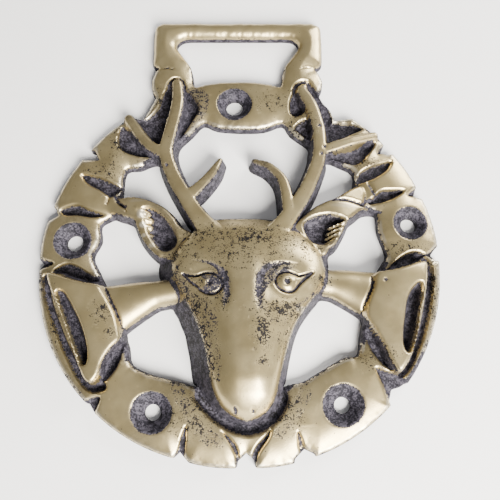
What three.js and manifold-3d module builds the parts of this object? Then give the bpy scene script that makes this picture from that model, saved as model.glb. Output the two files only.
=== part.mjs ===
// Horse brass, cast in one piece: a stag's head with antlers between two hunting horns, inside a ring
// of notched leaves with five countersunk screw holes, and a loop for a strap above it.
// It lies on its flat back at z = 0, face up, with the strap loop towards +Y.
import * as THREE from 'three';
import { mergeVertices } from 'three/addons/utils/BufferGeometryUtils.js';
import Module from 'manifold-3d';

const wasm = await Module();
wasm.setup();

// Driving dimensions, in millimetres
const ringWidth = 79.6;           // of the circle that the widest leaves reach
const topPlateDepth = 10.15;      // from the window's upper edge to the corners at the slot's foot
const plateThickness = 3.1;       // of the leaves, the top plate and the strap loop
const webThickness = 1.3;         // the metal left under the recesses
const edgeRound = 0.7;            // rounding of the plate's upper edges
const leafBulgeDepth = 0.8;       // how far the middle of a leaf stands out past its ends
const strapSlotWidth = 28.4;      // at the top of the slot, where the strap bears
const strapSlotWaist = 18.6;      // at the foot of the slot
const strapSlotDepth = 13;        // from the bar down to the corners at the slot's foot
const strapBarDepth = 2.4;        // of the bar above the slot, in the plane of the brass
const loopLegWidth = 4.3;         // of the loop's legs beside the top of the slot
const loopOffset = -0.7;          // of the loop's middle, to the left of the ring's
const topPlateRise = 1.3;         // of the arch along the top plate's upper edge, the foot of the slot
const boreWidth = 3.4;            // the screw holes, for a No. 6 wood screw
const countersinkWidth = 7.3;
const countersinkDepth = 2.0;
const antlerRise = 1.8;           // the figures' heights above the plate's face
const antlerWidth = 2.45;         // of a main beam, which is wider at its root
const ridgeRound = 0.5;           // rounding of the upper edges of the antlers and ears
const earRise = 1.6;
const earHollowLength = 9;
const earHollowWidth = 5.2;
const earHollowDepth = 2;
const hornTubeRise = 1.5;
const hornBellRise = 2.9;
const hornMouthWidth = 3.2;
const hornRimWidth = 2.1;         // of the groove between the bell's lip and the ring's edge
const headRise = 7.7;             // to the bridge of the nose
const eyeWidth = 3.9;
const eyeDepth = 1.5;             // how far the eyeball stands out of the middle of its socket
const socketWidth = 5.8;
const socketDepth = 1.8;
const browWidth = 1.6;            // of the fold over each eye
const muzzleMoatWidth = 3.4;      // of the recess round the muzzle
const cutterRise = 6;             // cutters run this far past the surface that they cut
const cutterDepth = 1;            // and this far past the back

// Shapes of the sections, as shares of their width
const draftShare = 0.16;          // how far the walls of antlers and ears lean out, for each unit of height
const crestShare = 0.7;           // flat top of an antler or ear
const grooveFloorShare = 0.35;    // flat bottom of a groove
const recessFloorShare = 0.72;    // a recess's floor against its outline
const cutterFlare = 1.75;         // a groove's cutter at its top against the groove
const roundSides = 22;            // of the screw holes
const ballSides = 14;             // of the eyes and hollows

// The outlines below are drawn for a ring 79.6 across, from a point 7.65 above its centre
const unit = ringWidth / 79.6;
const ringRadius = ringWidth / 2;
const windowReach = (20.8 + 7.65) * unit;   // from the ring's centre to the window's upper edge
const loopReach = windowReach + topPlateDepth + strapSlotDepth + strapBarDepth;

// The whole brass is centred on the origin, with the ring below and the loop above
const footInset = 1.15 * unit;    // the leaves at the foot stop short of the full circle
const overallHeight = loopReach + ringRadius - footInset;
const loopTop = overallHeight / 2;
const ringCentreY = loopTop - loopReach;
const slotTop = loopTop - strapBarDepth;
const slotFoot = slotTop - strapSlotDepth;

const place = ([x, y]) => new THREE.Vector2(x * unit, ringCentreY + (y + 7.65) * unit);
const mix = (a, b, t) => a + (b - a) * t;

// A table of rows [t, share, share, ...] in millimetres
const scaled = (rows, ...sizes) => rows.map(([t, ...shares]) => [t, ...shares.map((v, n) => v * sizes[n])]);

// A point of the ring's outline, this far inside the circle that its leaves touch
const onRing = (degrees, inset) => new THREE.Vector2(
  (ringRadius - inset) * Math.cos(THREE.MathUtils.degToRad(degrees)),
  ringCentreY + (ringRadius - inset) * Math.sin(THREE.MathUtils.degToRad(degrees)),
);

// A table of rows [t, value, value, ...] read at any t, with straight lines between the rows
function readTable(rows, t) {
  const last = rows.length - 2;
  let i = rows.findIndex((row, n) => n <= last && t <= rows[n + 1][0]);
  if (i < 0) i = last;
  const share = THREE.MathUtils.clamp((t - rows[i][0]) / (rows[i + 1][0] - rows[i][0]), 0, 1);
  return rows[i].slice(1).map((value, n) => mix(value, rows[i + 1][n + 1], share));
}

// Solids and shapes

function toSolid(geometry) {
  const bare = geometry.clone();
  bare.deleteAttribute('normal');
  bare.deleteAttribute('uv');
  const merged = mergeVertices(bare, 1e-5);
  const mesh = new wasm.Mesh({
    numProp: 3,
    vertProperties: merged.attributes.position.array,
    triVerts: Uint32Array.from(merged.index.array),
  });
  return new wasm.Manifold(mesh);
}

// A closed solid through a row of closed rings that all have the same number of points
function loft(rings) {
  const count = rings[0].length;
  const points = rings.flat();
  const index = [];
  for (let r = 0; r + 1 < rings.length; r += 1) {
    for (let i = 0; i < count; i += 1) {
      const j = (i + 1) % count;
      const [a, b, c, d] = [r * count + i, r * count + j, (r + 1) * count + j, (r + 1) * count + i];
      index.push(a, b, c, a, c, d);
    }
  }
  for (const [start, flip] of [[0, true], [(rings.length - 1) * count, false]]) {
    for (let i = 1; i + 1 < count; i += 1) {
      index.push(start, start + (flip ? i + 1 : i), start + (flip ? i : i + 1));
    }
  }
  let volume = 0;
  for (let i = 0; i < index.length; i += 3) {
    const [a, b, c] = [points[index[i]], points[index[i + 1]], points[index[i + 2]]];
    volume += a.dot(b.clone().cross(c));
  }
  if (volume < 0) index.reverse();
  const geometry = new THREE.BufferGeometry().setFromPoints(points);
  geometry.setIndex(index);
  return toSolid(geometry);
}

// Carries a section [[across, up], ...] of t along a smooth path seen from above
function sweep(pathPoints, steps, section) {
  const path = new THREE.SplineCurve(pathPoints.map(place));
  const rings = [];
  for (let n = 0; n <= steps; n += 1) {
    const t = n / steps;
    const at = path.getPointAt(t);
    const along = path.getTangentAt(t);
    rings.push(section(t).map(([across, up]) => new THREE.Vector3(
      at.x - along.y * across,
      at.y + along.x * across,
      up,
    )));
  }
  return loft(rings);
}

// A ridge with a rounded top and walls that lean out to the back, as a moulder's draft
function ridge(pathPoints, steps, widthsAndTops) {
  return sweep(pathPoints, steps, (t) => {
    const [width, top] = readTable(widthsAndTops, t);
    const half = width / 2;
    const crest = half * crestShare;
    const shoulder = top - Math.min(ridgeRound, half * 0.4);
    const foot = half + top * draftShare;
    return [[-foot, 0], [foot, 0], [half, shoulder], [crest, top], [-crest, top], [-half, shoulder]];
  });
}

// A body with straight walls and a half-round top, such as a horn, that widens along its path
function halfRound(pathPoints, steps, widthsAndTops, sides = 10) {
  const wallShare = 0.35;
  return sweep(pathPoints, steps, (t) => {
    const [width, top] = readTable(widthsAndTops, t);
    const half = width / 2;
    const arch = Array.from({ length: sides + 1 }, (_, i) => {
      const angle = (Math.PI * i) / sides;
      return [half * Math.cos(angle), top * mix(wallShare, 1, Math.sin(angle))];
    });
    return [[-half, 0], [half, 0], ...arch];
  });
}

// The width of a groove along its length: lens closes at both ends and wedge opens to its end
const leastShare = 0.06;
const grooveForms = {
  lens: (t) => Math.max(Math.sin(Math.PI * t), leastShare),
  wedge: (t) => Math.max(t, leastShare),
  even: () => 1,
};

// A cutter for a groove that narrows to a flat bottom and grows shallow where it closes
function groove(pathPoints, width, floor, form = 'lens', steps = 6, top = plateThickness) {
  return sweep(pathPoints, steps, (t) => {
    const share = grooveForms[form](t);
    const half = (width * share) / 2;
    const bottom = mix(top, floor, Math.sqrt(share));
    const inner = half * grooveFloorShare;
    const outer = half * cutterFlare;
    const end = top + cutterRise;
    return [[-inner, bottom], [inner, bottom], [half, top], [outer, end], [-outer, end], [-half, top]];
  });
}

// A cutter for a recess: an upright block on the outline, whose lowest ring is drawn in towards its middle
function recess(outlinePoints, floor) {
  const outline = outlinePoints.map(place);
  const middle = new THREE.Vector2();
  outline.forEach((point) => middle.addScaledVector(point, 1 / outline.length));
  const levels = [floor, plateThickness, plateThickness + cutterRise];
  const steps = levels.length - 1;
  const form = { depth: steps, steps, bevelEnabled: false };
  const block = new THREE.ExtrudeGeometry(new THREE.Shape(outline), form);
  const position = block.attributes.position;
  for (let n = 0; n < position.count; n += 1) {
    const level = Math.round(position.getZ(n));
    const at = new THREE.Vector2().fromBufferAttribute(position, n);
    if (level === 0) at.lerpVectors(middle, at, recessFloorShare);
    position.setXYZ(n, at.x, at.y, levels[level]);
  }
  return toSolid(block);
}

function ball(at, z, radii, turnDegrees = 0) {
  const geometry = new THREE.SphereGeometry(1, ballSides, Math.round(ballSides * 0.65));
  geometry.rotateX(Math.PI / 2);
  geometry.scale(...radii);
  geometry.rotateZ(THREE.MathUtils.degToRad(turnDegrees));
  const centre = place(at);
  geometry.translate(centre.x, centre.y, z);
  return toSolid(geometry);
}

const box = (x, y, z, centre) => toSolid(new THREE.BoxGeometry(x, y, z).translate(...centre));
const joinAll = (solids) => solids.reduce((sum, solid) => sum.add(solid));

// The plate: leaves, strap loop and top plate in one outline, with the slot and the window cut through

// The ring's leaves, anticlockwise from the loop's left foot: [where it begins, how far it is set in]
const leaves = [
  [127, 0.8], [144.7, 0.5], [165.9, 0.2], [181.3, 0], [222.9, -0.2], [254.4, 1], [271.7, 1.15],
  [287.7, 0.4], [319.2, 0], [361.9, 0.4], [380.5, 0.4], [397.2, 0.7], [414, 0.7],
];

function ringEdge() {
  const points = [];
  const stepsPerLeaf = 5;
  for (let leaf = 0; leaf + 1 < leaves.length; leaf += 1) {
    const [start, inset] = leaves[leaf];
    for (let n = 0; n < stepsPerLeaf; n += 1) {
      const share = n / stepsPerLeaf;
      const bulge = leafBulgeDepth * Math.sqrt(4 * share * (1 - share));
      points.push(onRing(mix(start, leaves[leaf + 1][0], share), inset * unit + leafBulgeDepth - bulge));
    }
  }
  const [end, inset] = leaves.at(-1);
  points.push(onRing(end, inset * unit + leafBulgeDepth));
  return points;
}

// The loop's outer sides from the ring up: [how far outside the straight leg, drop from the top], drawn
// on a loop that ends 23 above the ring
const loopSides = {
  right: [[2.2, 23.4], [1.3, 21], [-0.4, 18.8], [-0.9, 17.2], [-0.3, 15.6], [-0.2, 14], [-1, 12],
    [-1.7, 11.1], [-0.4, 10], [0, 8.2], [0, 2], [-0.5, 0.8], [-1.7, 0]],
  left: [[1.5, 23.2], [0.3, 20.8], [-0.9, 18.2], [-0.2, 16.3], [0, 14], [-0.7, 11.8], [-1.4, 10.9],
    [-0.2, 10], [0, 8.2], [0, 2], [-0.5, 0.8], [-1.7, 0]],
};
// The slot's sides from its foot up: [share of the way from the waist's width to the full, share of depth]
const slotSide = [
  [0, 0], [0.06, 0.19], [0.2, 0.38], [0.53, 0.58], [0.86, 0.73], [1, 0.84], [0.9, 0.94], [0.59, 1],
];

function loopEdge(points, side) {
  const legX = strapSlotWidth / 2 + loopLegWidth;
  const ringEnd = ringEdge().at(-1).y;
  const stretch = (loopTop - ringEnd) / 23;
  return points.map(([out, drop]) => new THREE.Vector2(
    loopOffset + side * (legX + out * unit),
    loopTop - drop * stretch,
  ));
}

function strapSlot() {
  const right = new THREE.SplineCurve(slotSide.map(([share, up]) => new THREE.Vector2(
    loopOffset + mix(strapSlotWaist, strapSlotWidth, share) / 2,
    mix(slotFoot, slotTop, up),
  ))).getPoints(12);
  const left = right.map((p) => new THREE.Vector2(2 * loopOffset - p.x, p.y)).reverse();
  const foot = [-0.75, -0.4, 0, 0.4, 0.75].map((share) => new THREE.Vector2(
    loopOffset + (share * strapSlotWaist) / 2,
    slotFoot + topPlateRise * (1 - share * share),
  ));
  return [...right, ...left, ...foot];
}

// The window inside the ring, anticlockwise from the top plate's lower edge; figures cross it afterwards
const windowPoints = [
  [0, 20.8], [-4.9, 21.2], [-7.9, 22.3], [-10.2, 19.8], [-13, 17], [-15.5, 14.2], [-18.8, 13], [-20.8, 12.1],
  [-23.8, 11.5], [-24.3, 7], [-24.6, 3.4], [-26, 1.3], [-28.3, -0.3], [-28, -3.6], [-29.4, -6.9],
  [-28, -10], [-26, -14], [-23, -21], [-21.3, -24.8], [-20.4, -28.3], [-15.6, -30.3], [-10.4, -31.5],
  [-5, -33.5], [0, -34], [5, -33.6], [9.4, -31.9], [12.1, -31.3], [15.5, -29.4], [20.1, -26.8], [22.6, -26.4],
  [23.3, -23.1], [24.4, -18], [26.2, -12], [28.3, -8.5], [29.3, -6.4], [27.9, -1.9], [27.7, 2], [25.4, 3.4],
  [23.4, 7], [23.5, 11], [20.4, 12.9], [17.5, 14.4], [14.2, 17.2], [10.6, 19.9], [8.9, 22.3], [5, 21],
];

function windowEdge() {
  const points = windowPoints.map((point) => new THREE.Vector3(...place(point).toArray(), 0));
  return new THREE.CatmullRomCurve3(points, true, 'centripetal').getPoints(92).slice(0, -1);
}

function plateShape() {
  const sides = [...loopEdge(loopSides.right, 1), ...loopEdge(loopSides.left, -1).reverse()];
  const shape = new THREE.Shape([...ringEdge(), ...sides]);
  shape.holes.push(new THREE.Path(strapSlot()));
  shape.holes.push(new THREE.Path(windowEdge()));
  return shape;
}

function plate() {
  const geometry = new THREE.ExtrudeGeometry(plateShape(), {
    depth: plateThickness - edgeRound,
    bevelThickness: edgeRound,
    bevelSize: edgeRound,
    bevelOffset: -edgeRound,
    bevelSegments: 2,
  });
  const size = 3 * (ringWidth + overallHeight);
  return toSolid(geometry).subtract(box(size, size, 4 * edgeRound, [0, 0, -2 * edgeRound]));
}

// Recesses and grooves in the plate

const recesses = [
  // round the left antler's upper branch, down to the window
  [[-22.4, 22.6], [-20.4, 23.6], [-18.2, 24.6], [-16.6, 28], [-15.8, 31.2], [-13.6, 32.4], [-11.6, 31],
    [-10.4, 28], [-9.4, 24.4], [-9.4, 21.4], [-13.2, 16.6], [-17, 16.4]],
  // below the left outer tine
  [[-24.8, 21.4], [-25.8, 17.6], [-24.2, 14.8], [-20.4, 13.8], [-17.4, 14], [-19.2, 16], [-22, 19]],
  // beyond the right upper branch, and the three-cornered field above the right outer tine
  [[15.6, 28.2], [16.8, 26.8], [18, 23.4], [21.8, 22], [25.8, 20.6], [22.4, 18.6], [18.2, 17.2], [17.2, 21],
    [16.4, 25]],
  // below the right outer tine
  [[18, 14.8], [21, 16.2], [27.2, 18.2], [26.6, 15.2], [24.4, 12.8], [20.4, 13.6]],
  // between the right upper branch and the top plate
  [[10.2, 29.4], [12.6, 31.8], [14.6, 31.4], [14.6, 26], [15.4, 19.4], [13.6, 18.2], [10.4, 20.4],
    [10.2, 24.4]],
];

// [path, width, form]
const grooves = [
  [[[-33, 10.2], [-29, 8.6], [-24.4, 5.8]], 2.5, 'lens'],
  [[[-36.6, 2.4], [-32, 2.5], [-27.2, 1.2]], 2.1, 'lens'],
  [[[-37.6, -9.2], [-32, -9.6], [-26.4, -12.4]], 2.2, 'lens'],
  [[[23.4, 8.8], [27, 10.4], [32, 13.6]], 2.7, 'lens'],
  [[[24.6, 4.6], [29, 6.3], [33.4, 7]], 2, 'lens'],
  [[[27.6, -10.2], [31.6, -7], [37, -6.2]], 2.2, 'lens'],
  [[[-13.4, 34.4], [-16, 34.9], [-19.4, 35.4]], 1.3, 'wedge'],
  [[[12.4, 34.6], [15, 35], [18, 35.4]], 1.3, 'wedge'],
  [[[-26.6, -33.8], [-29.8, -35.8]], 3.2, 'wedge'],
  [[[-9.6, -38.6], [-11, -45.6]], 3.2, 'wedge'],
  [[[10.6, -39.4], [12, -45.4]], 3.4, 'wedge'],
  [[[25, -28.6], [30.4, -34]], 5.6, 'wedge'],
  [[[-36, -8.4], [-40.6, -8.9]], 3, 'wedge'],
  [[[-29.2, 13.2], [-32, 15.4]], 1.4, 'wedge'],
  [[[27.8, 14.8], [31.6, 16.8]], 1.9, 'wedge'],
  [[[33.4, 5.8], [37.8, 6.8]], 1.2, 'wedge'],
  [[[36, -6.5], [40.4, -6.2]], 1.8, 'wedge'],
  [[[-22.2, -22.8], [-24, -27], [-25, -32.4]], 3, 'wedge'],
  [[[23.2, -20.6], [26.4, -25.2], [29.6, -30.4]], 2.8, 'lens'],
  [[[-3.6, -39.6], [-0.4, -43], [0.6, -46]], 2, 'wedge'],
  [[[5.6, -39.6], [2.6, -43], [1.8, -46]], 2, 'wedge'],
];

// The recess that sets the muzzle off from the leaves below it
const moatPath = [
  [-7.4, -32.4], [-5.4, -37], [-2.6, -39.4], [0.9, -40.2], [4.4, -39.4], [7.2, -36.8], [8.8, -32.4],
];

// [centre, bore, countersink], the last two as shares of the common screw hole; the first hole is in the
// top plate, a little above its middle
const screwHoles = [
  [new THREE.Vector2(-1.3 * unit, slotFoot - topPlateDepth * 0.458), 1.1, 0.98],
  [place([-33.3, -3.9]), 1.03, 1],
  [place([34.2, -0.2]), 0.95, 0.92],
  [place([-16.2, -36.8]), 0.93, 1.02],
  [place([19.3, -35.5]), 0.93, 1.04],
];

function screwHole([centre, boreShare, sinkShare]) {
  const bore = (boreWidth * boreShare) / 2;
  const sink = (countersinkWidth * sinkShare) / 2;
  const profile = [
    [0, -cutterDepth],
    [bore, -cutterDepth],
    [bore, plateThickness - countersinkDepth],
    [2 * sink - bore, plateThickness + countersinkDepth],
    [0, plateThickness + countersinkDepth],
  ].map(([r, z]) => new THREE.Vector2(r, z));
  const turned = new THREE.LatheGeometry(profile, roundSides).rotateX(Math.PI / 2);
  return toSolid(turned.translate(centre.x, centre.y, 0));
}

// The antlers: [path, widths and tops along it as shares of the beam's own]

const antlerBranches = [
  // left main beam and upper branch
  [[[-5.4, -3.6], [-8.4, 0.6], [-11.6, 5.8], [-13.8, 10], [-15.2, 14.6], [-14.4, 19.2], [-13.4, 23.4],
    [-13, 27], [-13.4, 30.8]], 16, [[0, 1.9, 1.4], [0.2, 1.35, 1.15], [0.5, 1.15, 1], [0.9, 1, 0.92],
    [1, 0.75, 0.8]]],
  // left outer tine
  [[[-15.4, 14.2], [-18.4, 15.6], [-20.6, 18], [-23.6, 22.8]], 6, [[0, 1.1, 0.98], [1, 1.1, 0.8]]],
  // left brow tine
  [[[-10.6, 4.6], [-7.8, 7.2], [-5.6, 10], [-3.9, 13.2]], 6,
    [[0, 1.1, 1.05], [0.7, 0.8, 1], [1, 0.35, 0.8]]],
  // right main beam and upper branch
  [[[6.4, -4.2], [9.4, 0.2], [12.6, 5], [14.8, 9.6], [16, 14], [16.2, 19], [15.4, 23.4], [14, 26.6],
    [12.9, 28.9]], 16, [[0, 1.9, 1.4], [0.2, 1.5, 1.15], [0.5, 1.25, 1], [0.9, 1.25, 0.92], [1, 1, 0.8]]],
  // right outer tine
  [[[16, 14.6], [19.8, 16], [23.2, 17.1], [27.6, 19]], 6, [[0, 1.1, 0.98], [1, 0.9, 0.8]]],
  // right brow tine, curved in over the crown
  [[[9.6, 2.4], [9, 6], [8.2, 9.2], [5.8, 11.6], [2.9, 12.6]], 8,
    [[0, 1, 1.1], [0.6, 0.85, 1], [1, 0.4, 0.85]]],
];

function antlers() {
  const top = plateThickness + antlerRise;
  const branch = ([path, steps, shares]) => ridge(path, steps, scaled(shares, antlerWidth, top));
  return joinAll(antlerBranches.map(branch));
}

// The ears: a leaf form from the head out to the ring, with a hollow opened in it

const ears = [
  {
    path: [[-9.6, -7], [-14.5, -3], [-18.4, -0.1], [-22, 2.6], [-27, 4.9]],
    widths: [[0, 5, 1.15], [0.3, 8, 1.02], [0.5, 7.6, 0.98], [0.75, 4.6, 0.9], [1, 2.2, 0.72]],
    hollow: [-16.3, -1.2],
    turn: -46,
  },
  {
    path: [[10.6, -5.6], [14.6, -2], [18.2, 0.4], [21.6, 2.3], [26.6, 4.3]],
    widths: [[0, 4, 1.15], [0.3, 7.4, 1.02], [0.5, 6.2, 0.98], [0.75, 3.8, 0.9], [1, 2, 0.72]],
    hollow: [16.4, -0.7],
    turn: 32,
  },
];
const earTop = plateThickness + earRise;

const earBody = ({ path, widths }) => ridge(path, 8, scaled(widths, unit, earTop));
const earHollow = ({ hollow, turn }) => ball(
  hollow,
  earTop,
  [earHollowLength / 2, earHollowWidth / 2, earHollowDepth],
  turn,
);

// The horns: a tube from the cheek that opens into a bell whose mouth faces out to the ring

const horns = [
  {
    tube: [[-8, -13.4], [-16, -14.7], [-20, -15.9], [-25.6, -18.2]],
    bell: [[-24.4, -17.6], [-28.4, -19.2], [-32.6, -21]],
    tubeSizes: [[0, 5, 1.1], [0.45, 5.4, 1], [0.8, 8.6, 1], [1, 10.8, 1]],
    bellSizes: [[0, 10.6, 0.86], [0.12, 12, 1], [0.6, 18, 0.95], [1, 23.4, 0.6]],
    mouth: [[-35.6, -13.2], [-32.8, -16.7], [-30.8, -20.8], [-29.6, -24], [-28.6, -28.4]],
    rim: [[-38.2, -10.6], [-36, -16.2], [-33.8, -21.6], [-31.4, -27], [-28, -32.4]],
  },
  {
    tube: [[10, -12], [17, -12.5], [20.6, -13.2], [25.8, -14.9]],
    bell: [[24.8, -14.6], [28.8, -16.4], [33.2, -18.4]],
    tubeSizes: [[0, 5, 1.1], [0.5, 5.8, 1], [0.8, 8, 1], [1, 9.6, 1]],
    bellSizes: [[0, 8.6, 0.86], [0.12, 10.4, 1], [0.6, 17, 0.95], [1, 21.6, 0.6]],
    mouth: [[35.6, -11.4], [34, -15.6], [32.9, -20], [32.2, -24], [31.4, -27.4]],
    rim: [[37, -9.4], [36.4, -14.4], [35.2, -19.6], [33.4, -24.6], [30.6, -29.8]],
  },
];

function horn({ tube, bell, tubeSizes, bellSizes }) {
  const tubeBody = halfRound(tube, 8, scaled(tubeSizes, unit, plateThickness + hornTubeRise));
  const bellBody = halfRound(bell, 7, scaled(bellSizes, unit, plateThickness + hornBellRise), 14);
  return tubeBody.add(bellBody);
}

// The mouth is a slot in the bell's low outer edge; a lip parts it from the groove along the ring's rim
function hornCuts({ mouth, rim }) {
  const lip = plateThickness + hornBellRise * 0.4;
  const mouthFloor = webThickness * 1.5;
  return groove(mouth, hornMouthWidth, mouthFloor, 'lens', 8, lip)
    .add(groove(rim, hornRimWidth, webThickness, 'lens', 8));
}

// The head, section by section from the crown to the tip of the muzzle

// [y, then x of the left foot, shoulder and edge of the bridge, and of the right edge, shoulder and foot,
// then the heights of shoulders and bridge as shares of the head's own]
const headRows = [
  [2.1, -5.4, -4.2, -1.3, 3.1, 5.4, 6.6, 0.16, 0.2],
  [0.6, -8.4, -6.4, -1.3, 3.1, 7.4, 9.6, 0.3, 0.44],
  [-1.4, -10.6, -8.4, -1.3, 3.1, 9.6, 12.4, 0.4, 0.6],
  [-4.6, -14.4, -12.2, -1.3, 3.1, 13.2, 15.4, 0.42, 0.74],
  [-7.6, -16.6, -14, -1.3, 3.1, 15.6, 17.4, 0.44, 0.84],
  [-10.6, -16.6, -14, -1.3, 3.1, 16.2, 17.9, 0.48, 0.92],
  [-13.6, -15.4, -12.6, -1.3, 3.1, 14.9, 16.8, 0.54, 0.96],
  [-17.2, -12.8, -10, -1.3, 3.1, 12.6, 14, 0.62, 0.98],
  [-21.4, -10.6, -8, -1.3, 3.1, 10.4, 11.6, 0.68, 0.99],
  [-26, -9.8, -6.6, -1.3, 3.2, 8.4, 10, 0.74, 1],
  [-30.4, -8.2, -5.4, -1.4, 3.4, 7.6, 9.2, 0.78, 1],
  [-33.6, -6.8, -4.1, -1.2, 3.6, 6.9, 8.2, 0.76, 0.97],
  [-35.8, -5, -3, -0.7, 3.3, 5.9, 6.9, 0.7, 0.88],
  [-37.5, -3.2, -1.6, -0.1, 2.5, 4.3, 5.2, 0.56, 0.7],
  [-38.8, -0.8, 0, 0.6, 1.4, 2.2, 3, 0.3, 0.4],
];
const headTop = plateThickness + headRise;

// The head's rows read along the head as smooth curves, so that sections can be taken at any spacing
function headRow(share) {
  const column = (n) => {
    const points = headRows.map((row, i) => new THREE.Vector2(i, row[n]));
    return new THREE.SplineCurve(points).getPoint(share).y;
  };
  return headRows[0].map((_, n) => column(n));
}

// A cheek climbs from the shoulder to the bridge as a quarter wave, taken at these shares of the way
const cheekSteps = [0.08, 0.3, 0.55, 0.8, 1];
const wallShare = 0.86;           // height of the wall under the shoulder, as a share of the shoulder's

function headSection([y, footL, shoulderL, bridgeL, bridgeR, shoulderR, footR, shoulderShare, bridgeShare]) {
  const low = shoulderShare * headTop;
  const high = bridgeShare * headTop;
  const cheek = (from, to) => cheekSteps.map((share) => [
    mix(from, to, share),
    mix(low, high, Math.sin((share * Math.PI) / 2)),
  ]);
  const profile = [
    [footR, 0],
    [shoulderR, low * wallShare],
    ...cheek(shoulderR, bridgeR),
    ...cheek(shoulderL, bridgeL).reverse(),
    [shoulderL, low * wallShare],
    [footL, 0],
  ];
  return profile.map(([x, z]) => {
    const at = place([x, y]);
    return new THREE.Vector3(at.x, at.y, z);
  });
}

// Each eye's middle, the turn of its long axis, and the path of the fold over it from outside to inside
const eyes = [
  {
    at: [-5.7, -13.2],
    turn: 8,
    brow: [[-9.6, -9.4], [-6.4, -9.9], [-3.6, -11.4], [-2.2, -14.4], [-2.6, -18.4]],
  },
  {
    at: [8.6, -13.1],
    turn: -8,
    brow: [[11.6, -9.8], [8.6, -10], [5.8, -11.2], [4, -14], [4.2, -18.2]],
  },
];
const eyeHeightShare = 0.86;      // an eye's and a socket's height against its width

// Heights of the face about the eyes, as shares of the head's
const socketLevel = 0.87;
const eyeLevel = 0.7;
const browLevel = 0.9;

function head() {
  const sections = 24;
  const skull = loft(Array.from({ length: sections + 1 }, (_, n) => headSection(headRow(n / sections))));
  const socketRadii = [socketWidth / 2, (socketWidth / 2) * eyeHeightShare, socketDepth];
  const eyeRadii = [eyeWidth / 2, (eyeWidth / 2) * eyeHeightShare, eyeDepth];
  const cuts = eyes.flatMap(({ at, turn, brow }) => [
    ball(at, headTop * socketLevel, socketRadii, turn),
    groove(brow, browWidth, headTop * eyeLevel, 'lens', 8, headTop * browLevel),
  ]);
  const eyeballs = eyes.map(({ at, turn }) => ball(at, headTop * eyeLevel, eyeRadii, turn));
  return skull.subtract(joinAll(cuts)).add(joinAll(eyeballs));
}

// The casting

function brass() {
  const cuts = joinAll([
    ...recesses.map((outline) => recess(outline, webThickness)),
    ...grooves.map(([path, width, form]) => groove(path, width * unit, webThickness, form)),
    groove(moatPath, muzzleMoatWidth, webThickness, 'even', 12),
  ]);
  const hornCutters = joinAll(horns.map(hornCuts));
  const figures = joinAll([...horns.map(horn), ...ears.map(earBody), antlers()])
    .subtract(joinAll(ears.map(earHollow)));
  return plate()
    .subtract(cuts)
    .add(figures)
    .subtract(hornCutters)
    .add(head())
    .subtract(joinAll(screwHoles.map(screwHole)));
}

const casting = brass().getMesh();
const castingGeometry = new THREE.BufferGeometry();
const castingPoints = new THREE.BufferAttribute(new Float32Array(casting.vertProperties), 3);
castingGeometry.setAttribute('position', castingPoints);
castingGeometry.setIndex(new THREE.BufferAttribute(new Uint32Array(casting.triVerts), 1));
castingGeometry.computeVertexNormals();

const agedBrass = new THREE.MeshStandardMaterial({ color: 0xa08c5e, roughness: 0.42, metalness: 0.9 });
const horseBrass = new THREE.Mesh(castingGeometry, agedBrass);
horseBrass.name = 'horse_brass';

const part = new THREE.Group();
part.add(horseBrass);

export default part;
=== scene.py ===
# A cast horse brass, worn bright on its high places and dark in its hollows, lying on a pale floor.
# The face is one height field over the outline of the casting, with walls down to a flat back.
import math
import bpy
import numpy as np
from mathutils.geometry import delaunay_2d_cdt
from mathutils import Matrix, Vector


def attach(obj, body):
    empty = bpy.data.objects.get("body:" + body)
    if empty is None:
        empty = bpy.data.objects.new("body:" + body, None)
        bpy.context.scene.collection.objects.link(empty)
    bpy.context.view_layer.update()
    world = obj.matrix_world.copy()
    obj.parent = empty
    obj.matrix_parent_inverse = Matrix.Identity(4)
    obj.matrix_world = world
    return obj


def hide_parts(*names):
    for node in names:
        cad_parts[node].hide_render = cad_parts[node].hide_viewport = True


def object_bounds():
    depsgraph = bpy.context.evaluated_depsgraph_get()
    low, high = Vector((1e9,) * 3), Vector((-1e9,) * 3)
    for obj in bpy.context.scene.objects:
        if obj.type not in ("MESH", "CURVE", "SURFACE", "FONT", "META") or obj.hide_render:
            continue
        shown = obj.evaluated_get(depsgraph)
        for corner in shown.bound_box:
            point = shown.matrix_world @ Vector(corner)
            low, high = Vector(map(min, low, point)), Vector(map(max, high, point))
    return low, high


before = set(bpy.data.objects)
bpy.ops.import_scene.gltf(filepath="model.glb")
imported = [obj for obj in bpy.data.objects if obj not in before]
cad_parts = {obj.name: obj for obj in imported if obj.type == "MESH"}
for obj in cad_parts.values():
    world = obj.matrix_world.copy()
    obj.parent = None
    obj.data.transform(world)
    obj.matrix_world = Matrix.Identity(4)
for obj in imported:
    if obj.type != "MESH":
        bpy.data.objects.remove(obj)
cadLow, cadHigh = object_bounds()

drawnWidth = 78.81                              # the casting's width in the outlines below, in millimetres
mm = (cadHigh.x - cadLow.x) / drawnWidth        # one of those millimetres, in metres
lift = cadHigh.y / mm - 46.35                   # the outlines' middle against the frame's


# Curves, distances and soft joins. Every point here is in millimetres.

def curve(points, steps, closed=False):
    # Catmull-Rom: p(t) = (2b + (c - a)t + (2a - 5b + 4c - d)t^2 + (3b - a - 3c + d)t^3) / 2.
    p = np.array(points, float)
    if closed:
        around = np.vstack([p[-1:], p, p[:2]])
    else:
        around = np.vstack([2 * p[:1] - p[1:2], p, 2 * p[-1:] - p[-2:-1]])
    a, b, c, d = (around[n:len(around) - 3 + n, None, :] for n in range(4))
    t = (np.arange(steps) / steps)[None, :, None]
    path = (2 * b + (c - a) * t + (2 * a - 5 * b + 4 * c - d) * t ** 2 + (3 * b - a - 3 * c + d) * t ** 3) / 2
    path = path.reshape(-1, 2)
    return path if closed else np.vstack([path, p[-1:]])


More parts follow.
